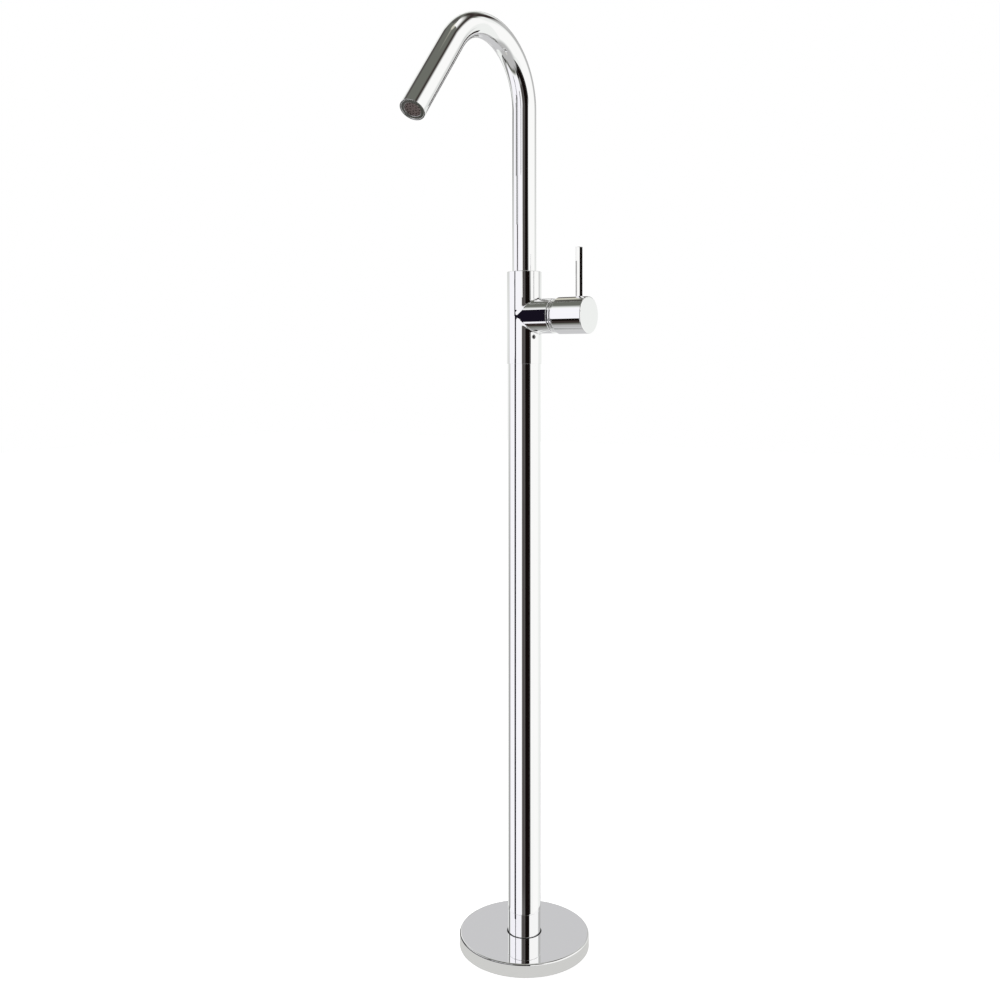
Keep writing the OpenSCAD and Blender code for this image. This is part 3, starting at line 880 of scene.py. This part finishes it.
    def blend_tee(self, mesh: BMesh) -> None:
        """Rounds the corner between body and branch.

        Args:
            mesh: the open tee.
        """
        corner = [
            edge for edge in mesh.edges
            if {face.material_index for face in edge.link_faces} == {0, 1}
        ]
        for face in mesh.faces:
            face.material_index = 0
        bmesh.ops.recalc_face_normals(mesh, faces=mesh.faces)
        round_edges(mesh, corner, self.blend)
        along, up = Vector((1, 0, 0)), Vector((0, 0, 1))
        cuts = [(reach, along) for reach in self.shading_cuts]
        cuts += [(reach * side, up) for reach in self.shading_cuts for side in (1, -1)]
        rim = self.rim_rounding + self.rim_hold
        foot = self.foot_rounding + self.rim_hold
        cuts.append((self.mouth - rim, along))
        cuts.append((self.top - self.axis_height - rim, up))
        cuts.append((self.foot - self.axis_height + foot, up))
        for reach, axis in cuts:
            bmesh.ops.bisect_plane(
                mesh, geom=[*mesh.verts, *mesh.edges, *mesh.faces], dist=SAME_SPOT,
                plane_co=axis * reach, plane_no=axis,
            )

    def open_end(
        self, mesh: BMesh, end: Vector, rounding: float, steps: list[tuple[float, float]]
    ) -> None:
        """Gives an open end its face, its rounded rim and its stepped bore.

        Args:
            mesh: the tee.
            end: the middle of the open end.
            rounding: the rounding of its rim.
            steps: pairs of a bore radius and its depth below the end.
        """
        axis = end.normalized()
        rim = [edge for edge in mesh.edges if edge.is_boundary and self.at_end(edge, end, axis)]
        loop, radius, depth = rim, self.radius, 0.0
        for next_radius, next_depth in steps:
            grown = bmesh.ops.extrude_edge_only(mesh, edges=loop)["geom"]
            verts = {item for item in grown if isinstance(item, BMVert)}
            ratio = next_radius / radius
            squeeze = Vector([1.0 if abs(part) > 0.5 else ratio for part in axis])
            bmesh.ops.scale(mesh, verts=list(verts), vec=squeeze)
            bmesh.ops.translate(mesh, verts=list(verts), vec=axis * (depth - next_depth))
            loop = [
                edge for edge in {edge for vert in verts for edge in vert.link_edges}
                if set(edge.verts) <= verts
            ]
            radius, depth = next_radius, next_depth
        bmesh.ops.contextual_create(mesh, geom=loop)
        round_edges(mesh, rim, rounding)

    @staticmethod
    def at_end(edge: BMEdge, end: Vector, axis: Vector) -> bool:
        """Tells whether an edge lies in the plane of an open end."""
        return all(abs((vert.co - end).dot(axis)) < IN_PLANE for vert in edge.verts)


@dataclass
class Lever(SubAssembly):
    """The two rings at the branch's mouth, the round cap and its pin."""

    axis_height: float = 730.0
    ring_radius: float = 19.0
    nut_start: float = 41.25
    nut_width: float = 3.0
    nut_bore: float = 11.6
    trim_start: float = 44.5
    trim_width: float = 3.5
    ring_rounding: float = 0.4
    cap_start: float = 48.5
    cap_length: float = 38.0
    cap_radius: float = 21.0
    cap_bore: float = 19.5
    cap_end_wall: float = 3.0
    hub_radius: float = 8.9
    hub_start: float = 54.5
    rim_rounding: float = 0.3
    end_rounding: float = 1.0
    cap_around: int = 256
    pin_place: float = 73.5
    pin_radius: float = 4.0
    pin_foot: float = 749.5
    pin_top: float = 807.0
    pin_rounding: float = 0.4
    pin_around: int = 128

    def build(self) -> None:
        """Builds the rings, the cap and the pin."""
        for name, start, width, node in (
            ("bonnet_ring", self.nut_start, self.nut_width, "bonnet_nut"),
            ("trim_band", self.trim_start, self.trim_width, "trim_ring"),
        ):
            end = start + width
            ring = turned([
                Corner(self.nut_bore, start),
                Corner(self.ring_radius, start, self.ring_rounding),
                Corner(self.ring_radius, end, self.ring_rounding),
                Corner(self.nut_bore, end),
            ])
            self.place(ring)
            self.hand_over(name, ring, Body.ROOT, node)
        end = self.cap_start + self.cap_length
        floor = end - self.cap_end_wall
        cap = turned([
            Corner(0.0, self.hub_start),
            Corner(self.hub_radius, self.hub_start, self.rim_rounding),
            Corner(self.hub_radius, floor),
            Corner(self.cap_bore, floor),
            Corner(self.cap_bore, self.cap_start, self.rim_rounding),
            Corner(self.cap_radius, self.cap_start, self.rim_rounding),
            Corner(self.cap_radius, end, self.end_rounding),
            Corner(0.0, end),
        ], steps=self.cap_around)
        self.place(cap)
        self.hand_over("round_cap", cap, Body.LEVER, "lever_cap")
        pin = turned([
            Corner(0.0, self.pin_foot),
            Corner(self.pin_radius, self.pin_foot, self.pin_rounding),
            Corner(self.pin_radius, self.pin_top, self.pin_rounding),
            Corner(0.0, self.pin_top),
        ], steps=self.pin_around)
        bmesh.ops.translate(pin, verts=pin.verts, vec=(self.pin_place, 0, 0))
        self.hand_over("pin_lever", pin, Body.LEVER, "lever_pin")

    def place(self, mesh: BMesh) -> None:
        """Lays a turned piece on the branch's axis."""
        lay_along_x(mesh, list(mesh.verts))
        bmesh.ops.translate(mesh, verts=mesh.verts, vec=(0, 0, self.axis_height))


@dataclass
class Spout(SubAssembly):
    """The bent spout and the ring that holds its aerator."""

    radius: float = 13.92
    bore_radius: float = 12.5
    foot: float = 782.5
    rise: float = 186.5
    bend_radius: float = 79.5
    bend_angle: float = 142.0
    nose: float = 109.0
    mouth_depth: float = 14.0
    tail_depth: float = 20.0
    foot_rounding: float = 0.3
    lip_rounding: float = 0.2
    bore_rounding: float = 0.15
    around: int = 128
    recess: float = 0.35
    face_radius: float = 9.7
    face_recess: float = 2.0
    ledge_width: float = 0.5
    ledge_height: float = 0.2
    ring_radius: float = 12.47
    ring_length: float = 4.0
    ring_rounding: float = 0.2

    def build(self) -> None:
        """Builds the tube and the aerator's ring."""
        self.hand_over("bent_spout", self.bend_tube(), Body.SPOUT, "spout_tube")
        ledge_radius = self.face_radius - self.ledge_width
        ledge = self.face_recess + self.ledge_height
        ring = turned([
            Corner(ledge_radius, ledge),
            Corner(ledge_radius, self.recess, self.ring_rounding),
            Corner(self.ring_radius, self.recess, self.ring_rounding),
            Corner(self.ring_radius, self.ring_length),
            Corner(self.face_radius, self.ring_length),
            Corner(self.face_radius, ledge),
        ], steps=self.around)
        bmesh.ops.transform(ring, verts=ring.verts, matrix=self.outlet())
        self.hand_over("aerator_ring", ring, Body.SPOUT, "aerator_housing")

    def outlet(self) -> Matrix:
        """Gives the frame of the spout's end, its Z axis pointing back up the nose.

        Returns:
            The matrix that places a piece drawn from the outlet inwards.
        """
        middle = Matrix.Translation((0, -self.bend_radius, self.foot + self.rise))
        turn = Matrix.Rotation(math.radians(self.bend_angle), 4, "X")
        end = Matrix.Translation((0, self.bend_radius, self.nose))
        return middle @ turn @ end @ Matrix.Rotation(math.pi, 4, "X")

    def bend_tube(self) -> BMesh:
        """Draws the tube from its foot over the bend to its lip.

        Returns:
            The tube, closed inside both ends.
        """
        mesh = bmesh.new()
        ring = bmesh.ops.create_circle(mesh, radius=self.radius, segments=self.around)["verts"]
        bmesh.ops.translate(mesh, verts=ring, vec=(0, 0, self.foot))
        foot = list({edge for vert in ring for edge in vert.link_edges})
        loop = self.draw_on(mesh, foot, Vector((0, 0, self.rise)))
        verts = list({vert for edge in loop for vert in edge.verts})
        bent = bmesh.ops.spin(
            mesh, geom=verts + loop, cent=(0, -self.bend_radius, self.foot + self.rise),
            axis=(1, 0, 0), angle=math.radians(self.bend_angle), steps=int(self.bend_angle),
        )["geom_last"]
        loop = [item for item in bent if isinstance(item, BMEdge)]
        outlet = self.outlet()
        along = -outlet.to_3x3().col[2]
        lip = self.draw_on(mesh, loop, along * self.nose)
        ends = (
            (foot, Matrix.Translation((0, 0, self.foot)), self.tail_depth, self.foot_rounding),
            (lip, outlet, self.mouth_depth, self.lip_rounding),
        )
        for rim, place, depth, rounding in ends:
            inward = place.to_3x3().col[2]
            bore = self.draw_on(mesh, rim, Vector(), self.bore_radius / self.radius, place)
            bottom = self.draw_on(mesh, bore, inward * depth)
            bmesh.ops.contextual_create(mesh, geom=bottom)
            round_edges(mesh, bore, self.bore_rounding)
            rim = [edge for edge in rim if edge.is_valid]
            round_edges(mesh, rim, rounding)
        face_outwards(mesh)
        return mesh

    def draw_on(
        self, mesh: BMesh, loop: list[BMEdge], shift: Vector, ratio: float = 1.0,
        place: Matrix | None = None,
    ) -> list[BMEdge]:
        """Extrudes a loop of edges on from where it is.

        Args:
            mesh: the mesh that holds the loop.
            loop: the loop's edges.
            shift: how far the new loop moves.
            ratio: the new loop's size against the old one.
            place: the frame that the size is measured in.

        Returns:
            The new loop's edges.
        """
        grown = bmesh.ops.extrude_edge_only(mesh, edges=loop)["geom"]
        verts = {item for item in grown if isinstance(item, BMVert)}
        if place is not None:
            size = (ratio, ratio, 1.0)
            bmesh.ops.scale(mesh, verts=list(verts), vec=size, space=place.inverted())
        bmesh.ops.translate(mesh, verts=list(verts), vec=shift)
        around = {edge for vert in verts for edge in vert.link_edges}
        return [edge for edge in around if set(edge.verts) <= verts]


# The studio


@dataclass(frozen=True)
class Panel:
    """One zone of painted reflection that the chrome shows, seen by glossy and transmission rays
    alone and named after the room thing that it stands for, such as a softbox, a wall or a
    doorway.

    Its sides are angles in degrees to the right of the camera's direction, as seen from the
    column. Its lower and upper edge are height angles, and both fade over the same angle.
    """

    name: str
    left: float
    right: float
    low: float
    high: float
    colour: Tint
    fade: float = 3.0


# Painted reflections: tones, backdrop and panels that glossy and transmission rays alone see, each
# named after the room thing it stands for; no lamp stands behind them.
SOFTBOX_REFLECTION = tone(254, 254, 252)
COOL_BOX_REFLECTION = tone(251, 250, 254)
SCREEN_REFLECTION = tone(242, 244, 241)
PAPER_REFLECTION = tone(202, 202, 203)
WALL_REFLECTION = tone(185, 185, 184)
CURTAIN_REFLECTION = tone(152, 151, 150)
HAZE = tone(128, 128, 127)
CEILING_REFLECTION = tone(108, 110, 103)
SHADE = tone(82, 78, 76)
DOORWAY_REFLECTION = tone(56, 48, 46)
NIGHT = tone(18, 13, 11)
BLUE_BLACK = tone(22, 18, 30)
SKYLIGHT_REFLECTION = tone(205, 203, 188)
BACKDROP_REFLECTION = (
    (-60, WALL_REFLECTION), (-45, SCREEN_REFLECTION), (40, SCREEN_REFLECTION), (50, CEILING_REFLECTION), (81, CEILING_REFLECTION), (84, SKYLIGHT_REFLECTION),
)
PANELS = (
    Panel("left_softbox", -118, -22, -45, 38, COOL_BOX_REFLECTION),
    Panel("left_gap", -124, -22, -59, -50, CEILING_REFLECTION),
    Panel("left_pelmet", -76, -22, 42, 50, SHADE, 2),
    Panel("door_frame", -22, -17.5, 12, 48, CEILING_REFLECTION, 8),
    Panel("door_leaf", -17.5, 3.5, -33, 47, SHADE, 8),
    Panel("door_sill", -17.5, 3.5, -57, -33, NIGHT, 8),
    Panel("doorway", 3.5, 35.5, -54, 50, NIGHT, 5),
    Panel("right_flag", 35.5, 43, -56, 5, NIGHT, 4),
    Panel("right_softbox", 43, 112, -26, 54, SOFTBOX_REFLECTION, 8),
    Panel("right_cove", 35.5, 43, 11, 54, SOFTBOX_REFLECTION, 4),
    Panel("side_softbox", 62, 112, -46, -20, SOFTBOX_REFLECTION, 5),
    Panel("side_wall", 119, 174, 8, 34, WALL_REFLECTION, 6),
    Panel("side_window", 122, 146, 34, 56, DOORWAY_REFLECTION, 4),
    Panel("side_beam", 35.5, 174, 54, 65, DOORWAY_REFLECTION, 4),
    Panel("side_skylight", 62, 174, 71, 95, SOFTBOX_REFLECTION, 5),
    Panel("back_right_wall", 146, 174, -70, -10, PAPER_REFLECTION, 8),
    Panel("back_dark", 174, 186, 8, 25, SHADE, 4),
    Panel("back_paper", 174, 186, 24, 31, PAPER_REFLECTION, 1),
    Panel("back_low", 174, 186, -95, 5, PAPER_REFLECTION),
    Panel("back_left_wall", -174, -156, -70, 2, PAPER_REFLECTION, 4),
    Panel("back_left_haze", -174, -147, 6, 16, HAZE, 4),
    Panel("back_left_beam", -174, -147, 58, 72, SHADE, 4),
    Panel("post", -147, -124, 8, 38, HAZE, 6),
    Panel("post_shade", -147, -124, 38, 56, SHADE, 6),
    Panel("low_wall", -139, -117, -40, -2, CURTAIN_REFLECTION, 10),
    Panel("low_flag", -139, -117, -54, -42, NIGHT, 5),
)


@dataclass(frozen=True)
class Card:
    """A curved panel round an upright axis that glows in the mixer's reflections alone, as painted
    reflection with no lamp behind it.

    It sweeps from one angle to another, in degrees to the right of the camera's direction, and
    spans from a lower to an upper height. Its reach limits it to reflections that start within
    those two distances from it.
    """

    name: str
    sweep: tuple[float, float]
    span: tuple[float, float]
    colour: Tint
    reach: tuple[float, float]
    distance: float = 0.78
    centre: tuple[float, float] = (0.0, 0.0)


@dataclass(frozen=True)
class BranchCard(Card):
    """A curved panel across the branch's axis, at a distance along it, that glows in reflections
    alone as painted reflection.

    Its angles are degrees round the branch from straight ahead, and its span is its inner and
    outer distance from the axis.
    """

    distance: float = -0.6


# Panels of painted reflection: each glows in reflections alone, most of them only at the ray
# lengths that start on one part, such as the column, the pin, the cap or the branch.
FULL_REACH = (0.5, 0.8)
BODY_REACH = (0.5, 0.7685)
BRANCH_REACH = (1.05, 9.0)
CAP_REACH = (1.2, 1.40)
PIN_REACH = (0.5962, 0.6037)
EDGE_REACH = (0.30, 0.431)
COLUMN_LINE = (-73.5, -61)
BRANCH_SPAN = (0.90, 1.068)
CAP_SPAN = (1.075, 1.25)
EDGE_SPAN = (-0.11, 0.19)
PIN = (0.0735, 0.0)
NOSE = (0.0, -0.17)
CARDS = (
    Card("column_line_low", COLUMN_LINE, (-0.6, 0.1), BLUE_BLACK, (0.5, 0.875)),
    Card("column_line_mid", COLUMN_LINE, (0.1, 0.426), BLUE_BLACK, (0.5, 0.806)),
    Card("column_line_top", COLUMN_LINE, (0.426, 0.674), BLUE_BLACK, (0.5, 0.776)),
    Card("body_line_low", (-66.5, -57.5), (0.674, 0.762), BLUE_BLACK, BODY_REACH),
    Card("body_line_top", (-70.5, -62.5), (0.762, 0.845), BLUE_BLACK, BODY_REACH),
    Card("spout_line_low", (-77, -69), (0.845, 0.93), SHADE, FULL_REACH),
    Card("spout_line_mid", (-82, -72), (0.93, 1.02), CEILING_REFLECTION, FULL_REACH),
    Card("spout_line_top", (-90, -73), (1.02, 1.35), HAZE, FULL_REACH),
    Card("nose_line", (134, 164), (0.962, 1.09), DOORWAY_REFLECTION, (0.4, 0.7), 0.5, NOSE),
    Card("pin_grey", (-180, -78), (0.786, 0.845), CURTAIN_REFLECTION, PIN_REACH, 0.6, PIN),
    Card("pin_white", (-180, -78), (0.845, 0.91), SOFTBOX_REFLECTION, PIN_REACH, 0.6, PIN),
    Card("pin_front", (-78, 14), (0.786, 0.91), SOFTBOX_REFLECTION, PIN_REACH, 0.6, PIN),
    Card("pin_flag", (14, 138), (0.786, 0.91), NIGHT, PIN_REACH, 0.6, PIN),
    Card("edge_flag", (-150, 8), EDGE_SPAN, BLUE_BLACK, EDGE_REACH, 0.45),
    Card("edge_light", (8, 105), EDGE_SPAN, SOFTBOX_REFLECTION, EDGE_REACH, 0.45),
    Card("neck", (-66.5, -52), (0.7635, 0.7725), BLUE_BLACK, BODY_REACH),
    BranchCard("branch_flag", (-38, 42), BRANCH_SPAN, BLUE_BLACK, BRANCH_REACH),
    BranchCard("branch_low", (-71, -50), BRANCH_SPAN, DOORWAY_REFLECTION, BRANCH_REACH),
    BranchCard("branch_deep", (-78, -71), BRANCH_SPAN, CEILING_REFLECTION, BRANCH_REACH),
    BranchCard("branch_sky", (110, 135), (0.93, 1.068), SCREEN_REFLECTION, BRANCH_REACH),
    BranchCard("cap_top", (138, 172), CAP_SPAN, SHADE, CAP_REACH),
    BranchCard("cap_sky", (114, 138), CAP_SPAN, SKYLIGHT_REFLECTION, CAP_REACH),
    BranchCard("cap_black", (-36, -21.5), CAP_SPAN, NIGHT, CAP_REACH),
    BranchCard("cap_brown", (-50, -36), CAP_SPAN, DOORWAY_REFLECTION, CAP_REACH),
    BranchCard("cap_fawn", (-57, -50), CAP_SPAN, CEILING_REFLECTION, CAP_REACH),
    BranchCard("cap_beige", (-64, -57), CAP_SPAN, CURTAIN_REFLECTION, CAP_REACH),
    BranchCard("cap_pale", (-80, -64), CAP_SPAN, WALL_REFLECTION, CAP_REACH),
    BranchCard("cap_lilac", (-100, -80), CAP_SPAN, PAPER_REFLECTION, CAP_REACH),
)


@dataclass
class Studio:
    """The camera, the pale floor, the soft light and the painted reflections of a room that the
    chrome shows.
    """

    camera_place: Point = (0.7080, -1.1003, 0.6770)
    camera_turn: float = 34.0
    lens: float = 40.4
    sensor_width: float = 36.0
    shift_y: float = -0.1379
    floor_size: float = 14.0
    floor_drop: float = 0.2 * MM
    floor_glow: float = 0.45
    floor_colour: Tint = tone(245, 245, 245)
    # The grey disc under the base: a painted reflection that its rim alone shows.
    rim_reflection_radius: float = 0.111
    rim_reflection_colour: Tint = tone(208, 208, 205)
    rim_reflection_reach: tuple[float, float] = (0.0, 0.05)
    branch_height: float = 0.73
    fill_light: float = 0.72
    lamp_size: float = 1.6
    lamp_aim: float = 0.5
    card_steps: int = 96
    single_reach: float = 0.44
    second_bounce: float = 1.5
    side_fade: float = 0.8

    def build(self) -> None:
        """Makes the whole studio."""
        self.aim_camera()
        self.lay_floor()
        self.lay_rim_reflection()
        self.light_world()
        self.hang_lamps()
        for card in CARDS:
            self.hang_card(card)
        bpy.context.scene.view_settings.view_transform = "Standard"

    def aim_camera(self) -> None:
        """Puts the camera where the photograph was taken from."""
        camera = link("camera", bpy.data.cameras.new("camera"))
        camera.data.sensor_width = self.sensor_width
        camera.data.lens = self.lens
        camera.data.shift_y = self.shift_y
        camera.location = self.camera_place
        camera.rotation_euler = (QUARTER_TURN, 0.0, math.radians(self.camera_turn))
        bpy.context.scene.camera = camera

    def lay_floor(self) -> None:
        """Lays a plain pale floor that keeps the mixer's soft shadow."""
        mesh = bmesh.new()
        bmesh.ops.create_grid(mesh, x_segments=1, y_segments=1, size=self.floor_size / 2)
        bmesh.ops.translate(mesh, vec=(0, 0, -self.floor_drop), verts=mesh.verts)
        floor = as_object("studio_floor", mesh)
        floor.visible_glossy = False
        material, sheet = new_material("studio_floor")
        paper = sheet.add("BsdfDiffuse")
        paper.inputs["Color"].default_value = self.floor_colour
        glow = sheet.glow("Emission", WHITE)
        seen = sheet.add("LightPath").outputs["Is Camera Ray"]
        sheet.join(sheet.span(seen, 0.0, self.floor_glow), glow.inputs["Strength"])
        both = sheet.add("AddShader")
        sheet.join(paper.outputs[0], both.inputs[0])
        sheet.join(glow.outputs[0], both.inputs[1])
        sheet.join(both.outputs[0], sheet.add("OutputMaterial").inputs["Surface"])
        floor.data.materials.append(material)

    def lay_rim_reflection(self) -> None:
        """Lays a pale grey round under the base that glows in its rim's reflections alone, as
        painted reflection with no lamp behind it.
        """
        mesh = bmesh.new()
        bmesh.ops.create_circle(
            mesh, cap_ends=True, segments=self.card_steps, radius=self.rim_reflection_radius
        )
        bmesh.ops.translate(mesh, vec=(0, 0, -self.floor_drop / 2), verts=mesh.verts)
        self.paint_reflection(as_object("rim_painted_reflection", mesh), self.rim_reflection_colour, self.rim_reflection_reach)

    def light_world(self) -> None:
        """Fills the room with even light, white to the camera, and paints zoned reflections that
        glossy and transmission rays alone see.
        """
        world = bpy.data.worlds.new("studio")
        world.use_nodes = True
        bpy.context.scene.world = world
        sheet = NodeSheet(world.node_tree)
        path = sheet.add("LightPath")
        mirrored = sheet.add("Background")
        sheet.join(self.paint_reflected_room(sheet), mirrored.inputs["Color"])
        plain = sheet.glow("Background", WHITE)
        level = sheet.span(path.outputs["Is Camera Ray"], self.fill_light, 1.0)
        sheet.join(level, plain.inputs["Strength"])
        rays = (path.outputs["Is Glossy Ray"], path.outputs["Is Transmission Ray"])
        sheet.choose(sheet.math("MAXIMUM", *rays), plain, mirrored, "OutputWorld")

    def paint_reflected_room(self, sheet: NodeSheet) -> NodeSocket:
        """Paints the reflections of a room: its backdrop from floor to ceiling, and the panels in
        front of it.

        Args:
            sheet: the world's node sheet.

        Returns:
            The painted reflection's colour in each direction.
        """
        look = sheet.add("TexCoord").outputs["Generated"]
        turn = math.radians(self.camera_turn)
        parts = []
        to_right = (math.cos(turn), math.sin(turn), 0.0)
        to_camera = (math.sin(turn), -math.cos(turn), 0.0)
        for axis in (to_right, to_camera):
            share = sheet.add("VectorMath", operation="DOT_PRODUCT")
            sheet.join(look, share.inputs[0])
            share.inputs[1].default_value = axis
            parts.append(share.outputs["Value"])
        around = sheet.math("DEGREES", sheet.math("ARCTAN2", *parts))
        axes = sheet.add("SeparateXYZ")
        sheet.join(look, axes.inputs["Vector"])
        rise = sheet.math("DEGREES", sheet.math("ARCSINE", axes.outputs["Z"]))
        height = sheet.span(rise, 0.0, 1.0, start=-90.0, end=90.0)
        colour = sheet.ramp(height, [((angle + 90) / 180, tint) for angle, tint in BACKDROP_REFLECTION])
        for panel in PANELS:
            middle = (panel.left + panel.right) / 2
            side = sheet.math("WRAP", around, middle + 180, middle - 180)
            covers = sheet.math(
                "MULTIPLY",
                sheet.within(side, panel.left, panel.right, self.side_fade),
                sheet.within(rise, panel.low, panel.high, panel.fade),
            )
            colour = sheet.cover(colour, panel.colour, covers)
        return colour

    def hang_lamps(self) -> None:
        """Hangs two large soft lamps, left out of the reflections."""
        for name, place, power in (
            ("key_lamp", Vector((1.6, -1.4, 2.4)), 18.0),
            ("fill_lamp", Vector((-2.0, -0.8, 1.6)), 8.0),
        ):
            lamp = link(name, bpy.data.lights.new(name, "AREA"))
            lamp.data.size = self.lamp_size
            lamp.data.energy = power
            lamp.location = place
            aim = Vector((0, 0, self.lamp_aim)) - place
            lamp.rotation_euler = aim.to_track_quat("-Z", "Y").to_euler()
            lamp.visible_glossy = False

    def hang_card(self, card: Card) -> None:
        """Hangs one panel of painted reflection.

        Args:
            card: the panel's place, size and colour.
        """
        first, last = (math.radians(angle) for angle in card.sweep)
        if isinstance(card, BranchCard):
            axis = Vector((1, 0, 0))
            centre = Vector((0, 0, self.branch_height))
            turn = Matrix.Rotation(-first, 3, "X")
            corners = [turn @ Vector((card.distance, -way, 0)) for way in card.span]
            angle = first - last
        else:
            axis = Vector((0, 0, 1))
            centre = Vector((*card.centre, 0))
            turn = Matrix.Rotation(math.radians(self.camera_turn) - QUARTER_TURN + first, 3, "Z")
            corners = [turn @ Vector((card.distance, 0, height)) for height in card.span]
            angle = last - first
        mesh = bmesh.new()
        verts = [mesh.verts.new(centre + corner) for corner in corners]
        edge = mesh.edges.new(verts)
        bmesh.ops.spin(
            mesh, geom=[*verts, edge], cent=centre, axis=axis, angle=angle, steps=self.card_steps
        )
        self.paint_reflection(as_object(card.name, mesh), card.colour, card.reach)

    def paint_reflection(self, panel: Object, colour: Tint, reach: tuple[float, float]) -> None:
        """Makes a panel glow in reflections alone, as painted reflection with no lamp behind it.

        Args:
            panel: the panel.
            colour: its colour.
            reach: the shortest and longest reflected way at which it shows. A panel of short
                reach shows in the first reflection alone.
        """
        panel.visible_camera = False
        panel.visible_diffuse = False
        panel.visible_shadow = False
        material, sheet = new_material(panel.name)
        path = sheet.add("LightPath")
        way = path.outputs["Ray Length"]
        shows = sheet.math(
            "MULTIPLY",
            sheet.math("GREATER_THAN", way, reach[0]),
            sheet.math("LESS_THAN", way, reach[1]),
        )
        if reach[1] < self.single_reach:
            first = sheet.math("LESS_THAN", path.outputs["Ray Depth"], self.second_bounce)
            shows = sheet.math("MULTIPLY", shows, first)
        clear, glow = sheet.add("BsdfTransparent"), sheet.glow("Emission", colour)
        sheet.choose(shows, clear, glow, "OutputMaterial")
        panel.data.materials.append(material)


def dress(node: str, finish: Finish) -> None:
    """Gives a frame node its finish.

    Args:
        node: the node's name.
        finish: the finish for all its faces.
    """
    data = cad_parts[node].data
    data.materials.clear()
    data.materials.append(finish.material())
    log.info("%s: %s", node, finish.name)


def main() -> None:
    """Builds the studio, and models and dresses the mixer."""
    logging.basicConfig(level=logging.INFO, format="%(message)s")
    Studio().build()
    for group in (Base(), Column(), MixerBody(), Lever(), Spout()):
        group.build()
    for node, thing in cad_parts.items():
        dress(node, FINISHES[Slot(thing.data.materials[0].name)])


if __name__ == "__main__":
    main()
